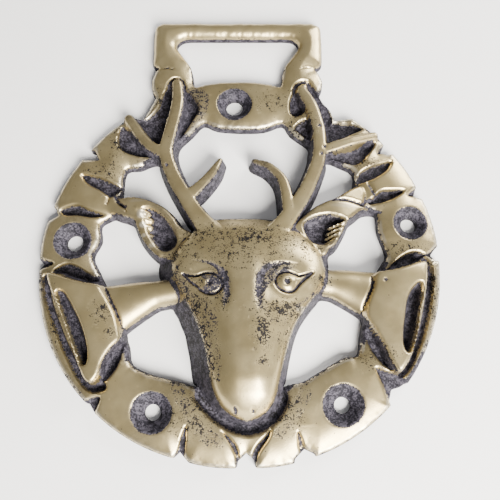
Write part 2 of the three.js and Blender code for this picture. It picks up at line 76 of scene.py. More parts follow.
def alongPath(path, x, y, reach):
    # Distance to a line of segments, min |p - a - t(b - a)|, and the share of its length reached there.
    # A point farther than reach from the line's box counts as 99 away.
    path = np.asarray(path, float)
    distance = np.full(x.shape, 99.0)
    share = np.zeros(x.shape)
    near = ((x > path[:, 0].min() - reach) & (x < path[:, 0].max() + reach)
            & (y > path[:, 1].min() - reach) & (y < path[:, 1].max() + reach))
    px, py, best, at = x[near], y[near], distance[near], share[near]
    lengths = np.hypot(*np.diff(path, axis=0).T)
    before = np.concatenate([[0], np.cumsum(lengths)])
    for (ax, ay), (bx, by), length, start in zip(path[:-1], path[1:], lengths, before):
        t = np.clip(((px - ax) * (bx - ax) + (py - ay) * (by - ay)) / max(length, 1e-9) ** 2, 0, 1)
        d = np.hypot(px - ax - t * (bx - ax), py - ay - t * (by - ay))
        at = np.where(d < best, (start + t * length) / before[-1], at)
        best = np.minimum(d, best)
    distance[near], share[near] = best, at
    return distance, share


def inside(outline, x, y, reach):
    # Distance to a closed outline, above 0 inside it: the sign comes from how often a ray crosses it.
    ring = np.vstack([outline, outline[:1]])
    distance, _ = alongPath(ring, x, y, reach)
    odd = np.zeros(x.shape, bool)
    for (ax, ay), (bx, by) in zip(ring[:-1], ring[1:]):
        if ay != by:
            odd ^= ((ay > y) != (by > y)) & (x < (bx - ax) * (y - ay) / (by - ay) + ax)
    return np.where(odd, distance, -distance)


def alongCurve(points, x, y, reach=5.0, steps=8):
    # alongPath for the smooth line through these points.
    return alongPath(curve(points, steps), x, y, reach)


def insideCurve(points, x, y, reach=5.0, steps=4):
    # inside for the smooth closed outline through these points.
    return inside(curve(points, steps, closed=True), x, y, reach)


def fade(distance, width, power=2):
    # 1 at no distance, then e^-(distance / width)^power.
    return np.exp(-(distance / width) ** power)


def roundOver(e, fullness=1.0):
    # The drop of a quarter round: 1 - sqrt(1 - fullness e^2), 0 at e = 0 and deepest at e = 1.
    return 1 - np.sqrt(1 - e ** 2 * fullness)


def softMax(a, b, k):
    # The higher of two, rounded over a width k: mix(b, a, h) + k h (1 - h), h = 1/2 + (a - b) / 2k.
    h = np.clip(0.5 + 0.5 * (a - b) / k, 0, 1)
    return b + (a - b) * h + k * h * (1 - h)


def softMin(a, b, k):
    # The lower of two, rounded over a width k: -softMax(-a, -b).
    return -softMax(-a, -b, k)


def rise(value, low, high):
    # 0 below low and 1 above high, with 3t^2 - 2t^3 between.
    t = np.clip((value - low) / (high - low), 0, 1)
    return t * t * (3 - 2 * t)


def table(rows, t):
    # Columns of a table of rows (t, value, value, ...) read at any t, along straight lines.
    rows = np.array(rows, float)
    return [np.interp(t, rows[:, 0], rows[:, n]) for n in range(1, rows.shape[1])]


def waviness(x, y, size, seed):
    # Smooth noise from -1 to 1: random values on a square lattice of this size, eased between.
    lattice = np.random.default_rng(seed).uniform(-1, 1, (64, 64))
    u, v = x / size + 32, y / size + 32
    i, j = np.floor(u).astype(int), np.floor(v).astype(int)
    s, t = rise(u - i, 0, 1), rise(v - j, 0, 1)
    corner = lambda di, dj: lattice[(j + dj) % 64, (i + di) % 64]
    low = corner(0, 0) * (1 - s) + corner(1, 0) * s
    high = corner(0, 1) * (1 - s) + corner(1, 1) * s
    return low * (1 - t) + high * t


# The plate: a ring of leaves, the strap loop above it, its slot, and the window inside the ring

plate = {
    # heights of the face and its edge, how far in the pillow climbs, and the power of its climb
    "face": 3.15, "edge": 2.05, "shoulder": 5.4, "pillow": 2.4,
    # the quarter round at the rim: width and drop on the ring, then on the loop, and where along y it changes
    "rim": 0.45, "rimDrop": 0.4, "loopRim": 1.3, "loopDrop": 0.9, "loopFrom": (35, 38),
    "ringCentre": (0, -7.65), "leafBulge": 0.25, "leafSteps": 14,
    # how far from outlines and notches depth is worked out, points to each span of an opening, and rounding
    # where openings meet the outline
    "reach": 8, "notchReach": 4, "openingSteps": 3, "corner": 0.15,
    # anticlockwise from the loop's left foot: where each leaf begins, in degrees, and its radius there
    "leaves": [(127, 38.9), (144.7, 39.2), (165.9, 39.5), (181.3, 39.7), (222.9, 39.7), (254.4, 38.9),
               (271.7, 38.7), (287.7, 39.3), (319.2, 39.6), (361.9, 39.5), (380.5, 39.3), (397.2, 39),
               (414, 38.9)],
    # where a leaf ends in a step or a V in the outline
    "notches": [
        [(-30.4, 15.9), (-29.4, 13.9), (-32.4, 13.8), (-36, 17)],
        [(-37.7, 3.5), (-36.9, 1.7), (-38.8, 0.5), (-43, 2)],
        [(-40.6, -6.8), (-38.9, -8.4), (-40.4, -10), (-43, -8.6)],
        [(-29.9, -34.9), (-28, -35.2), (-26.7, -37.4), (-29, -41)],
        [(-12.5, -45.2), (-10.9, -43.7), (-9, -45.8), (-9, -49), (-14, -49)],
        [(-0.9, -49), (-0.3, -45.4), (1.3, -43.9), (2.9, -45.2), (3.5, -49)],
        [(14, -44.1), (12, -43.2), (10.2, -45), (10, -49), (15, -48)],
        [(31.4, -31.4), (30.4, -32.1), (28.7, -32.6), (28, -34.9), (30, -38), (36, -33)],
        [(38, -6.6), (39.3, -4.9), (42.6, -4), (42.6, -7.8), (38.8, -7.7)],
        [(35.6, 5.9), (36.2, 7.9), (39.6, 9.4), (40.4, 5.4), (36.6, 5.4)],
        [(29.3, 15.5), (29.9, 17), (32, 19), (34, 15.6), (30.8, 15.1)],
    ],
    "loopRight": [(20, 22.9), (19.1, 25.3), (17.4, 27.5), (16.9, 29.1), (17.5, 30.7), (17.6, 32.3),
                  (16.8, 34.3), (16.1, 35.2), (17.4, 36.3), (17.8, 38.1), (17.8, 44.8), (17.3, 46.2),
                  (15.9, 47)],
    "loopLeft": [(-17.3, 47), (-18.7, 46.2), (-19.2, 44.8), (-19.2, 38.1), (-19, 36.3), (-17.8, 35.4),
                 (-18.5, 34.5), (-19.2, 32.3), (-19, 30), (-18.3, 28.1), (-19.5, 25.5), (-20.7, 23.1)],
    "slot": [(-7.7, 31.5), (-4.4, 32), (-0.7, 32.2), (3, 32), (6.3, 31.5), (8.6, 31), (9, 33.4), (9.6, 35.9),
             (11.2, 38.5), (12.4, 40.2), (12.8, 41.3), (12.3, 42.3), (11.2, 43), (9.6, 43.2), (7.6, 43.2),
             (-9, 43.2), (-11, 43.2), (-12.6, 43), (-13.7, 42.3), (-14.2, 41.3), (-13.8, 40.2), (-12.6, 38.5),
             (-11, 35.9), (-10.4, 33.4), (-10, 31)],
    "window": [(0, 20.8), (-4.9, 21.2), (-7.9, 22.3), (-10.2, 19.8), (-13, 17), (-15.5, 14.2), (-18.8, 13),
               (-20.8, 12.1), (-23.8, 11.5), (-24.3, 7), (-24.6, 3.4), (-26, 1.3), (-28.3, -0.3), (-28, -3.6),
               (-29.4, -6.9), (-28, -10), (-26, -14), (-23, -21), (-21.3, -24.8), (-20.4, -28.3),
               (-15.6, -30.3), (-10.4, -31.5), (-5, -33.5), (0, -34), (5, -33.6), (9.4, -31.9), (12.1, -31.3),
               (15.5, -29.4), (20.1, -26.8), (22.6, -26.4), (23.3, -23.1), (24.4, -18), (26.2, -12),
               (28.3, -8.5), (29.3, -6.4), (27.9, -1.9), (27.7, 2), (25.4, 3.4), (23.4, 7), (23.5, 11),
               (20.4, 12.9), (17.5, 14.4), (14.2, 17.2), (10.6, 19.9), (8.9, 22.3), (5, 21)],
}


def loopShare(y):
    # 0 on the ring and 1 on the strap loop, eased between.
    return rise(y, *plate["loopFrom"])


def plateOutline():
    # Each leaf is an arc whose radius swells by bulge sqrt(4s(1 - s)) between its ends. The loop's sides
    # follow.
    share = (np.arange(plate["leafSteps"]) / plate["leafSteps"])[None, :]
    starts, radii = np.array(plate["leaves"], float).T
    angle = np.radians(starts[:-1, None] + np.diff(starts)[:, None] * share)
    swell = plate["leafBulge"] * np.sqrt(4 * share * (1 - share))
    radius = radii[:-1, None] + np.diff(radii)[:, None] * share + swell
    cx, cy = plate["ringCentre"]
    ring = np.stack([cx + radius * np.cos(angle), cy + radius * np.sin(angle)], -1).reshape(-1, 2)
    return np.vstack([ring, curve(plate["loopRight"], 4), curve(plate["loopLeft"], 4)])


def plateInside(x, y):
    # How far a point lies inside the plate: in the outline, and out of the slot, the window and the notches.
    reach, steps = plate["reach"], plate["openingSteps"]
    body = inside(plateOutline(), x, y, reach)
    slot = insideCurve(plate["slot"], x, y, reach, steps)
    window = insideCurve(plate["window"], x, y, reach, steps)
    opening = np.maximum(slot, window)
    for outline in plate["notches"]:
        opening = np.maximum(opening, inside(np.array(outline), x, y, plate["notchReach"]))
    return softMin(body, -opening, plate["corner"])


def plateHeight(depth, y):
    # A pillow, edge + (face - edge)(1 - (1 - s)^pillow) with s the depth from the outline, and a quarter
    # round at the rim, larger on the loop.
    s = np.clip(depth / plate["shoulder"], 0, 1)
    top = plate["edge"] + (plate["face"] - plate["edge"]) * (1 - (1 - s) ** plate["pillow"])
    loop = loopShare(y)
    r = np.clip(depth / (plate["rim"] + (plate["loopRim"] - plate["rim"]) * loop), 0, 1)
    drop = plate["rimDrop"] + (plate["loopDrop"] - plate["rimDrop"]) * loop
    return top - drop * roundOver(1 - r)


# Hollows cut into the plate

hollows = {
    # height of the lowest ground, slope of the sides, and rounding where they meet the face
    "web": 1.3, "slope": 2.6, "rim": 0.4,
    "sideShare": 0.8,           # how much of a field's sides lies inside its outline
    # grooves: the width that goes down to the web, the floor's half width as a share of it, and the rounding
    # as a share of the fields'
    "fullWidth": 1.6, "floorShare": 0.2, "grooveRim": 0.6,
    # closed fields, down to the web
    "fields": [
        # about the left antler's branches
        [(-22.2, 23), (-20.6, 22.9), (-19.1, 24.1), (-17.6, 26), (-16.9, 28.2), (-16.2, 29.6), (-14.8, 30.6),
         (-12.9, 30.8), (-11.4, 29.4), (-9.6, 27.4), (-8.8, 25), (-9.8, 22.9), (-12.2, 18.8), (-14, 16.9),
         (-17, 16.7), (-19.6, 19.3)],
        [(-24.8, 21.4), (-25.8, 18.5), (-24.6, 15.6), (-20.5, 14.2), (-17.4, 14.4), (-20.8, 17.5)],
        # beyond the right branch, then the three-cornered field and the ones below the tine
        [(14.4, 32), (15.9, 30.4), (17.2, 28.4), (18.4, 27), (19.2, 25.2), (19.6, 22.9), (18.6, 17.5),
         (16.6, 24), (14.2, 30)],
        [(18, 18), (18.2, 21.8), (20.3, 22.6), (21.5, 22.2), (23.9, 22.2), (26.1, 20.7), (23.7, 19.4),
         (20.7, 18.1)],
        [(18.2, 14.3), (20, 14.8), (23.6, 15.9), (26, 17.3), (27.8, 18), (28, 16.6), (26.4, 14.5), (25.2, 13),
         (23.4, 12.3), (21.1, 13)],
        [(23.6, 8.2), (24.4, 10.8), (26.9, 12.1), (29.2, 13), (31.6, 13.6), (30.6, 11.5), (28.5, 9.9),
         (26.1, 8.7)],
        # two dips left of the right branch
        [(10.3, 25.9), (10.9, 28.4), (12.1, 28.9), (13.6, 27.4), (14, 25.2), (12.4, 23.5), (10.6, 23.9)],
        [(11.1, 21.1), (12.6, 22.3), (14.4, 22.6), (15, 21), (14.9, 18.1), (13.5, 18.6), (12.2, 19.6)],
        # lenses between the leaves
        [(-32.8, 10.4), (-29.5, 9.9), (-26.3, 8.7), (-23.9, 7.7), (-24.9, 6.2), (-26.4, 5.3), (-28.7, 6.8),
         (-31.3, 8.2)],
        [(-36.9, 2.8), (-35.3, 3.4), (-32.8, 3.7), (-30.3, 2.7), (-26.9, 1.6), (-29.5, 0.9), (-32.7, 1.4),
         (-35.6, 1.4)],
        [(-36.9, -10.3), (-35.3, -9), (-33.7, -8.6), (-31.7, -9.1), (-29.4, -10.4), (-27.2, -12),
         (-29.8, -12.4), (-32.1, -11.7), (-34.9, -10.7)],
        [(25.7, 4.3), (27.4, 5.7), (28.9, 6.8), (30.9, 7), (33.7, 6.9), (31.6, 5.2), (29, 4.2), (26.4, 3.7)],
        [(28.5, -10), (30.8, -7.8), (33.1, -6.4), (35.3, -6), (36.9, -6.8), (34.9, -8.3), (32.4, -9.3),
         (30.1, -10.2)],
        # pockets at the notches
        [(-43, -6), (-39.6, -7), (-36.5, -8.4), (-39.4, -9.9), (-43, -11)],
        [(-32, -35.6), (-29.2, -34.4), (-25.8, -33.8), (-26.4, -36.7), (-27.4, -40)],
        [(25.6, -28.7), (27.3, -29.2), (29.8, -30), (32, -31.6), (33, -36), (28.4, -36), (27.6, -34.5),
         (26.6, -31.5)],
        [(28.2, 14.9), (29.6, 17.2), (32, 18.6), (32.4, 15.6), (30.4, 15)],
        [(33.9, 5.8), (36, 8), (39.5, 9), (39.5, 5.4), (36.2, 5.4)],
        [(36.7, -6.6), (39.2, -4.7), (42.5, -4), (42.5, -7.8), (38.2, -7.4)],
    ],
    # grooves: path, width, form
    "grooves": [
        ([(-13.4, 34.4), (-16, 35), (-19.8, 35.6)], 1.1, "wedge"),
        ([(12.6, 34.6), (14.5, 35.3), (18.4, 35.4)], 1.1, "wedge"),
        ([(-9.7, -38.9), (-11, -46)], 4, "wedge"),
        ([(10.7, -39.8), (12.2, -46)], 4.2, "wedge"),
        ([(-22, -22.8), (-23.8, -27.4), (-26, -32)], 3.4, "lens"),
        ([(23.8, -20.4), (26.2, -25.2), (29.7, -29.9)], 3.2, "lens"),
        ([(-3.4, -39.8), (-1.6, -41.8), (-0.4, -43.8), (0.2, -47)], 1.9, "wedge"),
        ([(6.4, -38.4), (5.2, -41), (3.2, -43.6), (2.2, -47)], 2.4, "wedge"),
        ([(11.4, 28.2), (11.6, 30.2), (12.9, 31.4), (14.5, 31.3), (15.6, 29.8)], 1.0, "even"),
        ([(-15.6, 29.4), (-15.2, 31), (-14.2, 32), (-12.8, 31.9), (-12.1, 30.4)], 1.0, "even"),
        ([(18.4, 3.3), (21.5, 3), (24.8, 2.8), (28.6, 1.7)], 0.9, "lens"),
    ],
}


def cutTo(floor, overEdge, z, slope, rim):
    # Lowers z to a floor whose sides climb from overEdge = 0 at this slope, rounded where they meet.
    return softMin(z, floor + slope * np.maximum(overEdge, 0), rim)


def cutHollows(z, x, y):
    # Fields drop inside their outline; grooves have the width w(t): sin(pi t) for a lens, t for a wedge.
    web, slope, rim = hollows["web"], hollows["slope"], hollows["rim"]
    drop = plate["face"] - web
    side = drop / slope
    for outline in hollows["fields"]:
        z = cutTo(web, side * hollows["sideShare"] - insideCurve(outline, x, y), z, slope, rim)
    for path, width, form in hollows["grooves"]:
        distance, t = alongCurve(path, x, y)
        wide = {"lens": np.sin(math.pi * t), "wedge": t, "even": np.ones_like(t)}[form]
        floor = plate["face"] - drop * np.sqrt(np.clip(wide, 0, 1)) * min(width / hollows["fullWidth"], 1)
        over = distance - wide * width * hollows["floorShare"]
        z = np.where(distance < 5, cutTo(floor, over, z, slope, rim * hollows["grooveRim"]), z)
    return z


# Antlers, each branch a path with widths and tops along it, and ears, each an outline with a bowl in it

antlers = {
    # height, slope of the walls, how far the middle stands over the edge, and the edge's radius
    "top": 4.95, "wall": 5.0, "crown": 0.12, "round": 0.42,
    "foot": 0.16,               # how far the walls lean out at the foot, as a share of the height
    # path, and rows of share along it, width, top as a share
    "branches": [
        ([(-2.6, -6.6), (-5.6, -2.8), (-8.4, 0.8), (-11.6, 5.8), (-13.8, 10), (-15.2, 14.6), (-14.5, 19.2),
          (-13.6, 23.4), (-13.2, 27), (-13.5, 30.6)],
         [(0, 4.4, 1.15), (0.1, 4.2, 1.2), (0.26, 3.2, 1.1), (0.46, 2.9, 1), (0.62, 2.8, 0.98),
          (0.9, 2.5, 0.93), (1, 2.1, 0.84)]),
        ([(-15.4, 14.4), (-18.4, 16), (-20.8, 18.6), (-23.4, 22.6)],
         [(0, 2.2, 0.98), (0.7, 2.1, 0.9), (1, 2, 0.74)]),
        ([(-10.6, 4.6), (-7.8, 7.4), (-5.7, 10), (-4.1, 12.9)],
         [(0, 2.6, 1.05), (0.5, 2, 1), (0.8, 1.7, 0.96), (1, 1, 0.86)]),
        ([(3.6, -7.4), (6.6, -3.6), (9.4, 0.2), (12.6, 5), (14.8, 9.6), (16.1, 13.6), (16.3, 18.2),
          (15.9, 21.4), (14.8, 25.4), (13.1, 28.9)],
         [(0, 4.4, 1.15), (0.1, 4.2, 1.2), (0.26, 3.3, 1.1), (0.48, 2.9, 1), (0.7, 2.6, 0.98),
          (0.9, 2.5, 0.94), (1, 2.1, 0.84)]),
        ([(16.2, 14.8), (19.6, 16), (23.2, 17.3), (27.8, 18.7)],
         [(0, 2.2, 0.98), (0.6, 1.9, 0.9), (1, 1.8, 0.74)]),
        ([(9.6, 2.4), (9.2, 6), (8.2, 9), (5.8, 11.5), (2.9, 12.7)],
         [(0, 2.4, 1.1), (0.5, 2, 1), (0.8, 1.5, 0.97), (1, 1, 0.88)]),
    ],
}
ears = {
    "top": 4.7, "wall": 4.5, "round": 0.7, "roundDrop": 0.6, "foot": 0.14,
    "bowl": 2.5, "bowlReach": 2.0, "bowlOver": 0.2,         # depth, width of its sides, how far they pass it
    "lean": 2.0, "leanFrom": (19, 28),                      # how far the tips drop, and where along x
    "tuftRise": 0.15, "tuftFall": 0.8, "tuftRound": 0.9,    # over the ear's top, along the tuft, across it
    "crease": 0.8, "creaseWidth": 0.32, "creaseBare": 0.3,
    "forms": [
        {"outline": [(-28.6, 3), (-27.8, 5.6), (-24.4, 5), (-22.5, 5.1), (-20.1, 4.7), (-17.6, 3.9),
                     (-15.1, 2.6), (-13.2, 0.7), (-11.6, -1.5), (-9, -3.2), (-8.6, -7), (-12.6, -8.4),
                     (-14.7, -7.8), (-15.9, -7.5), (-17.8, -5.8), (-19.2, -3.9), (-20.3, -1.7), (-21.1, 0.1),
                     (-22.6, 0.9), (-24.6, 1.5)],
         "hollow": [(-19.5, 2.3), (-17.9, 2.5), (-16.3, 1.7), (-14.8, 0.3), (-13.3, -1.6), (-12.5, -3.4),
                    (-12.4, -4.9), (-13.2, -6), (-14.4, -6.5), (-15.7, -6.1), (-16.9, -4.6), (-17.9, -3.1),
                    (-18.5, -1.5), (-19.2, 0.4)],
         "creases": [[(-25.6, 5.6), (-24.5, 4), (-22.9, 2.9)]],
         "tufts": [([(-20.6, 2.3), (-18.3, 1.3)], 1.7), ([(-20.1, 0.7), (-17.9, 0)], 1.7),
                   ([(-19.6, -1), (-17.7, -1.5)], 1.4), ([(-19, -2.9), (-17.5, -3.2)], 1.1),
                   ([(-17.8, -4.9), (-16.4, -5.7)], 1.1)]},
        {"outline": [(28.2, 2.5), (26.2, 3.7), (25.2, 4.5), (25.4, 6.4), (24.4, 7.6), (22.2, 6.6),
                     (19.7, 4.9), (17, 3.8), (15, 2.7), (13.2, 1.2), (10.4, -1.6), (9, -5.6), (13.6, -8),
                     (16.7, -7.2), (17.4, -6.1), (18.7, -5.1), (19.8, -3.4), (20.7, -1.7), (21.5, 0),
                     (23.1, 1.3), (24.5, 2.4), (26.4, 2.7)],
         "hollow": [(12.5, -1.2), (13.1, -0.3), (14.8, 0.7), (17, 1.2), (18.7, 1.1), (21, 0.3), (20.4, -0.9),
                    (19.6, -2.4), (18.6, -4), (17.2, -5.1), (15.4, -5), (14.1, -4.4), (13, -2.9)],
         "creases": [[(18.6, 4.2), (21.6, 4.2), (24.8, 3.5), (28.4, 2.2)], [(24.4, 3.5), (26.4, 4.9)],
                     [(26.2, 8), (26.7, 6.9), (27.2, 5.8)]],
         "tufts": [([(20.6, -0.6), (17.6, -1.7)], 0.7), ([(20.3, -1.6), (17.3, -2.8)], 0.62),
                   ([(19.8, -2.6), (16.9, -3.9)], 0.62), ([(19.2, -3.7), (16.9, -4.9)], 0.62)]},
    ],
}


def strap(distance, half, top):
    # Across a branch: nearly flat, top - crown q^2, then a quarter round of radius r into steep walls.
    r = np.minimum(antlers["round"], half * 0.5)
    e = np.clip((distance - half + r) / r, 0, 1)
    crown = antlers["crown"] * np.clip(distance / half, 0, 1) ** 2
    return top - crown - r * roundOver(e, 0.96) - antlers["wall"] * np.maximum(distance - half, 0)


def earForm(ear, x, y):
    # A leaf with a rounded edge and a tip that drops, a bowl b(1 - (1 - s)^2) sunk in it, tufts of hair as
    # ridges over the bowl, and creases.
    within = insideCurve(ear["outline"], x, y)
    e = 1 - np.clip(within / ears["round"], 0, 1)
    lean = ears["lean"] * rise(np.abs(x), *ears["leanFrom"])
    z = ears["top"] - lean - ears["roundDrop"] * roundOver(e, 0.98) - ears["wall"] * np.maximum(-within, 0)
    bowl = insideCurve(ear["hollow"], x, y)
    s = np.clip((bowl + ears["bowlOver"]) / ears["bowlReach"], 0, 1)
    z = z - ears["bowl"] * (1 - (1 - s) ** 2)
    bare = np.minimum(within, -bowl)
    for path, width in ear["tufts"]:
        distance, t = alongPath(path, x, y, 3)
        across = ears["tuftRound"] * (distance / (width / 2)) ** 2
        tuft = ears["top"] + ears["tuftRise"] - ears["tuftFall"] * t - across
        z = np.where(distance < width, softMax(z, tuft, 0.15), z)
        bare = np.maximum(bare, width * 0.4 - distance)
    for path in ear["creases"]:
        distance, t = alongCurve(path, x, y, 3, 6)
        deep = ears["crease"] * np.sqrt(np.sin(math.pi * np.clip(t, 0.04, 0.96)))
        z = z - deep * fade(distance, ears["creaseWidth"])
        bare = np.minimum(bare, distance - ears["creaseBare"])
    return z, within, bare


def ridgesOf(x, y):
    # Height of antlers and ears, and how far a point lies inside them, inside their wider feet and inside
    # their worn faces.
    z = np.full(x.shape, -9.0)
    depth, foot, bare = (np.full(x.shape, -99.0) for _ in range(3))
    for ear in ears["forms"]:
        high, within, clear = earForm(ear, x, y)
        bare = np.maximum(bare, clear)
        z = np.maximum(z, high)
        depth = np.maximum(depth, within + 0.1)
        foot = np.maximum(foot, within + ears["foot"] * ears["top"])
    for path, rows in antlers["branches"]:
        distance, t = alongCurve(path, x, y, 6)
        width, top = table(rows, t)
        top = top * antlers["top"]
        within = width / 2 - distance
        z = softMax(z, strap(distance, width / 2, top), 0.15)
        depth = softMax(depth, within + 0.1, 0.5)
        foot = softMax(foot, within + antlers["foot"] * top, 0.5)
        bare = np.maximum(bare, within)
    return z, depth, foot, bare


# The horns: a tube from the cheek and a bell with its mouth towards the ring

hornForm = {
    "side": 0.42, "arch": 0.58, "tubeWall": 6,      # tube: height at its sides, rise over them, walls' slope
    "crest": 5.75, "fall": 0.03, "fallReach": 8,    # bell: height of its crest, fall from it, end of the fall
    "round": 0.7, "wall": 7,                        # the bell's edge and the slope of its wall
    "floor": 2.2, "lip": 0.55, "mouthSlope": 3.2,   # mouth: floor, width of the lip, slope of its sides
    "seam": 0.55, "seamWidth": 0.3,                 # the groove between tube and bell
    "ditch": 0.3, "ditchSlope": 2.8, "rim": 0.3,    # the low ground beyond the mouth, and rounding
}
horns = [
    {"tube": [(-8, -13.4), (-16, -14.7), (-20, -15.9), (-25.6, -18.2)],
     "tubeRows": [(0, 5, 4.9), (0.45, 5.4, 4.6), (0.8, 8.6, 4.6), (1, 10.8, 4.7)],
     "bell": [(-37.2, -10.6), (-33.5, -11.7), (-30.4, -12.6), (-26.7, -13.2), (-25.9, -14.3), (-24.7, -16.2),
              (-23.2, -19.1), (-22.1, -23), (-23.8, -25.3), (-25.1, -27.6), (-25.7, -29.9), (-26.8, -31.5),
              (-28.2, -31), (-29.4, -29), (-31, -25.6), (-32.9, -21.1), (-34.2, -18.2), (-35.7, -15.1),
              (-37, -12.2)],
     "seam": [(-26.7, -13.2), (-25.9, -14.3), (-24.7, -16.2), (-23.2, -19.1), (-22.2, -22.8)],
     "mouth": [(-34.6, -14.7), (-33.6, -14.9), (-31.9, -17.4), (-30.4, -20.1), (-29.3, -22.7), (-28.5, -25.6),
               (-28.5, -27.9), (-29.1, -27.6), (-30.1, -25.6), (-31.4, -23), (-32.9, -19.5), (-34, -16.8)],
     "rim": [(-37.9, -11.2), (-37.9, -12.6), (-37.4, -14.9), (-36.4, -17.7), (-35.1, -20.6), (-33.7, -23.6),
             (-32.4, -26), (-30.8, -28.9), (-29.2, -31.2), (-27.4, -32.5), (-25.6, -32.2)],
     "crest": [(-31.5, -13.4), (-27.6, -19), (-26.6, -24), (-27.2, -29.6)]},
    {"tube": [(10, -12), (17, -12.5), (20.6, -13.2), (25.8, -14.9)],
     "tubeRows": [(0, 5, 4.9), (0.5, 5.8, 4.6), (0.8, 8, 4.6), (1, 9.6, 4.7)],
     "bell": [(35.9, -8.4), (30.6, -10), (26.1, -10.9), (25.6, -13.3), (24.6, -15.6), (23.9, -17.4),
              (23.8, -19.2), (25.4, -21.7), (27, -24.9), (28.4, -28.1), (29.6, -29.5), (30.8, -28.4),
              (32.2, -26), (33.4, -22.8), (34.5, -19.6), (35.4, -16.2), (36, -13), (36.3, -10.4)],
     "seam": [(26.1, -11.1), (25.6, -13.3), (24.6, -15.6), (23.9, -17.4), (23.8, -19.2)],
     "mouth": [(34.7, -12.8), (33, -14.3), (32, -16.4), (31.5, -19), (31, -21.6), (30.8, -24.2),
               (31.3, -25.7), (31.9, -25.1), (32.7, -23.1), (33.5, -20.2), (34.2, -17.2), (34.9, -15.2)],
     "rim": [(36.5, -7.8), (37.3, -9.7), (37.2, -12.5), (36.7, -15.5), (35.9, -18.8), (34.8, -22.3),
             (33.4, -25.5), (31.9, -28.4), (30.4, -30)],
     "crest": [(31, -11), (28.6, -16), (28.6, -21), (29.6, -27)]},
]


def hornOf(z, horn, x, y):
    # Tube: top (side + arch sqrt(1 - q^2)) across it. Bell: crest - fall d^2 from its crest line, a rounded
    # edge, a seam beside the tube, the mouth cut in. Also how far a point lies inside the tube, inside the
    # bell and outside the mouth.
    distance, t = alongCurve(horn["tube"], x, y, 6)
    width, top = table(horn["tubeRows"], t)
    q = np.clip(distance * 2 / width, 0, 1)
    arch = hornForm["side"] + hornForm["arch"] * np.sqrt(1 - q ** 2 * 0.98)
    z = softMax(z, top * arch - hornForm["tubeWall"] * np.maximum(distance - width / 2, 0), 0.25)
    rim, _ = alongCurve(horn["rim"], x, y, 5, 6)
    z = cutTo(hollows["web"] - 0.1, rim - hornForm["ditch"], z, hornForm["ditchSlope"], hornForm["rim"])
    within = insideCurve(horn["bell"], x, y, 7)
    crest, _ = alongCurve(horn["crest"], x, y, 14, 6)
    bell = hornForm["crest"] - hornForm["fall"] * np.minimum(crest, hornForm["fallReach"]) ** 2
    bell = bell - hornForm["round"] * roundOver(1 - np.clip(within / hornForm["round"], 0, 1))
    beyond = bell + hornForm["wall"] * np.minimum(within, 0)
    z = np.where(within > 0, np.maximum(bell, hornForm["floor"]), softMax(z, beyond, 0.2))
    seam, _ = alongCurve(horn["seam"], x, y, 3, 6)
    z = z - hornForm["seam"] * fade(seam, hornForm["seamWidth"])
    mouth = insideCurve(horn["mouth"], x, y)
    z = cutTo(hornForm["floor"], hornForm["lip"] - mouth, z, hornForm["mouthSlope"], hornForm["rim"])
    return z, width / 2 - distance, within, -mouth


# The head, by rows down its length

head = {
    # the edge of the face's flat, where its side walls begin: y and x down the left side, then up the right
    "left": [(0.1, -5.4), (-1.2, -7.8), (-3.4, -10), (-5.8, -12.2), (-8.1, -13.1), (-9.7, -13.2),
             (-11.9, -12.7), (-13.9, -11.8), (-15.8, -10.7), (-17.6, -9.5), (-19.5, -8.6), (-21.3, -7.7),
             (-23.8, -6.9), (-25.6, -6.3), (-27.4, -5.9), (-29.8, -5.5), (-32.1, -5), (-34.1, -4.2),
             (-35.9, -3.1), (-37.2, -1.6), (-38, 0.1), (-38.3, 1.5)],
    "right": [(-38.3, 1.7), (-37.8, 3.4), (-36.8, 4.9), (-35.3, 6.1), (-33.3, 6.9), (-30.6, 7.5),
              (-28.3, 8.1), (-26.2, 8.7), (-23.8, 9.4), (-21.7, 10.2), (-19.5, 11.4), (-17.3, 13),
              (-15.1, 14.7), (-13.2, 16), (-11.3, 16.4), (-9, 16.2), (-6.6, 15.4), (-3.4, 12.6), (-1.2, 9.2),
              (0.2, 5)],
    # y, then the heights of shoulder and crest, and the left and right walls' widths
    "rows": [(-39, 4.2, 4.6, 1.2, 1.2), (-37.6, 4.9, 6.8, 1.5, 1.2), (-36, 5.5, 8.6, 2, 1.2),
             (-34, 6.1, 9.9, 2.8, 1.3), (-31, 6.5, 10.6, 3.6, 1.4), (-27, 6.4, 10.6, 3.5, 1.1),
             (-21.4, 6, 10.3, 3, 0.9), (-17.2, 5.6, 10, 2.9, 0.9), (-13.6, 5.1, 9.7, 3, 1.2),
             (-10.6, 4.8, 9.3, 3, 1.4), (-7.6, 4.6, 8.7, 2.9, 1.7), (-4.6, 4.4, 7.6, 2.4, 2),
             (-1.8, 4.2, 5.8, 1.6, 1.6), (0, 3.5, 4, 1.2, 1.2), (2, 3, 3, 1.2, 1.2)],
    "rowCount": 240, "smoothings": 24,              # rows read from the tables, and how often they are evened
    "fullness": 2.5, "footShare": 1.02,             # how square the face is across, and the drop of its walls
    # the band down the nose: height, middle, lean, half width, width of its sides, and y where each end fades
    "bridge": 0.5, "bridgeMiddle": 0.5, "bridgeLean": 0.05, "bridgeHalf": 2.3, "bridgeFall": 3.0,
    "bridgeFoot": (-36, -29), "bridgeHead": (-12, -5),
}


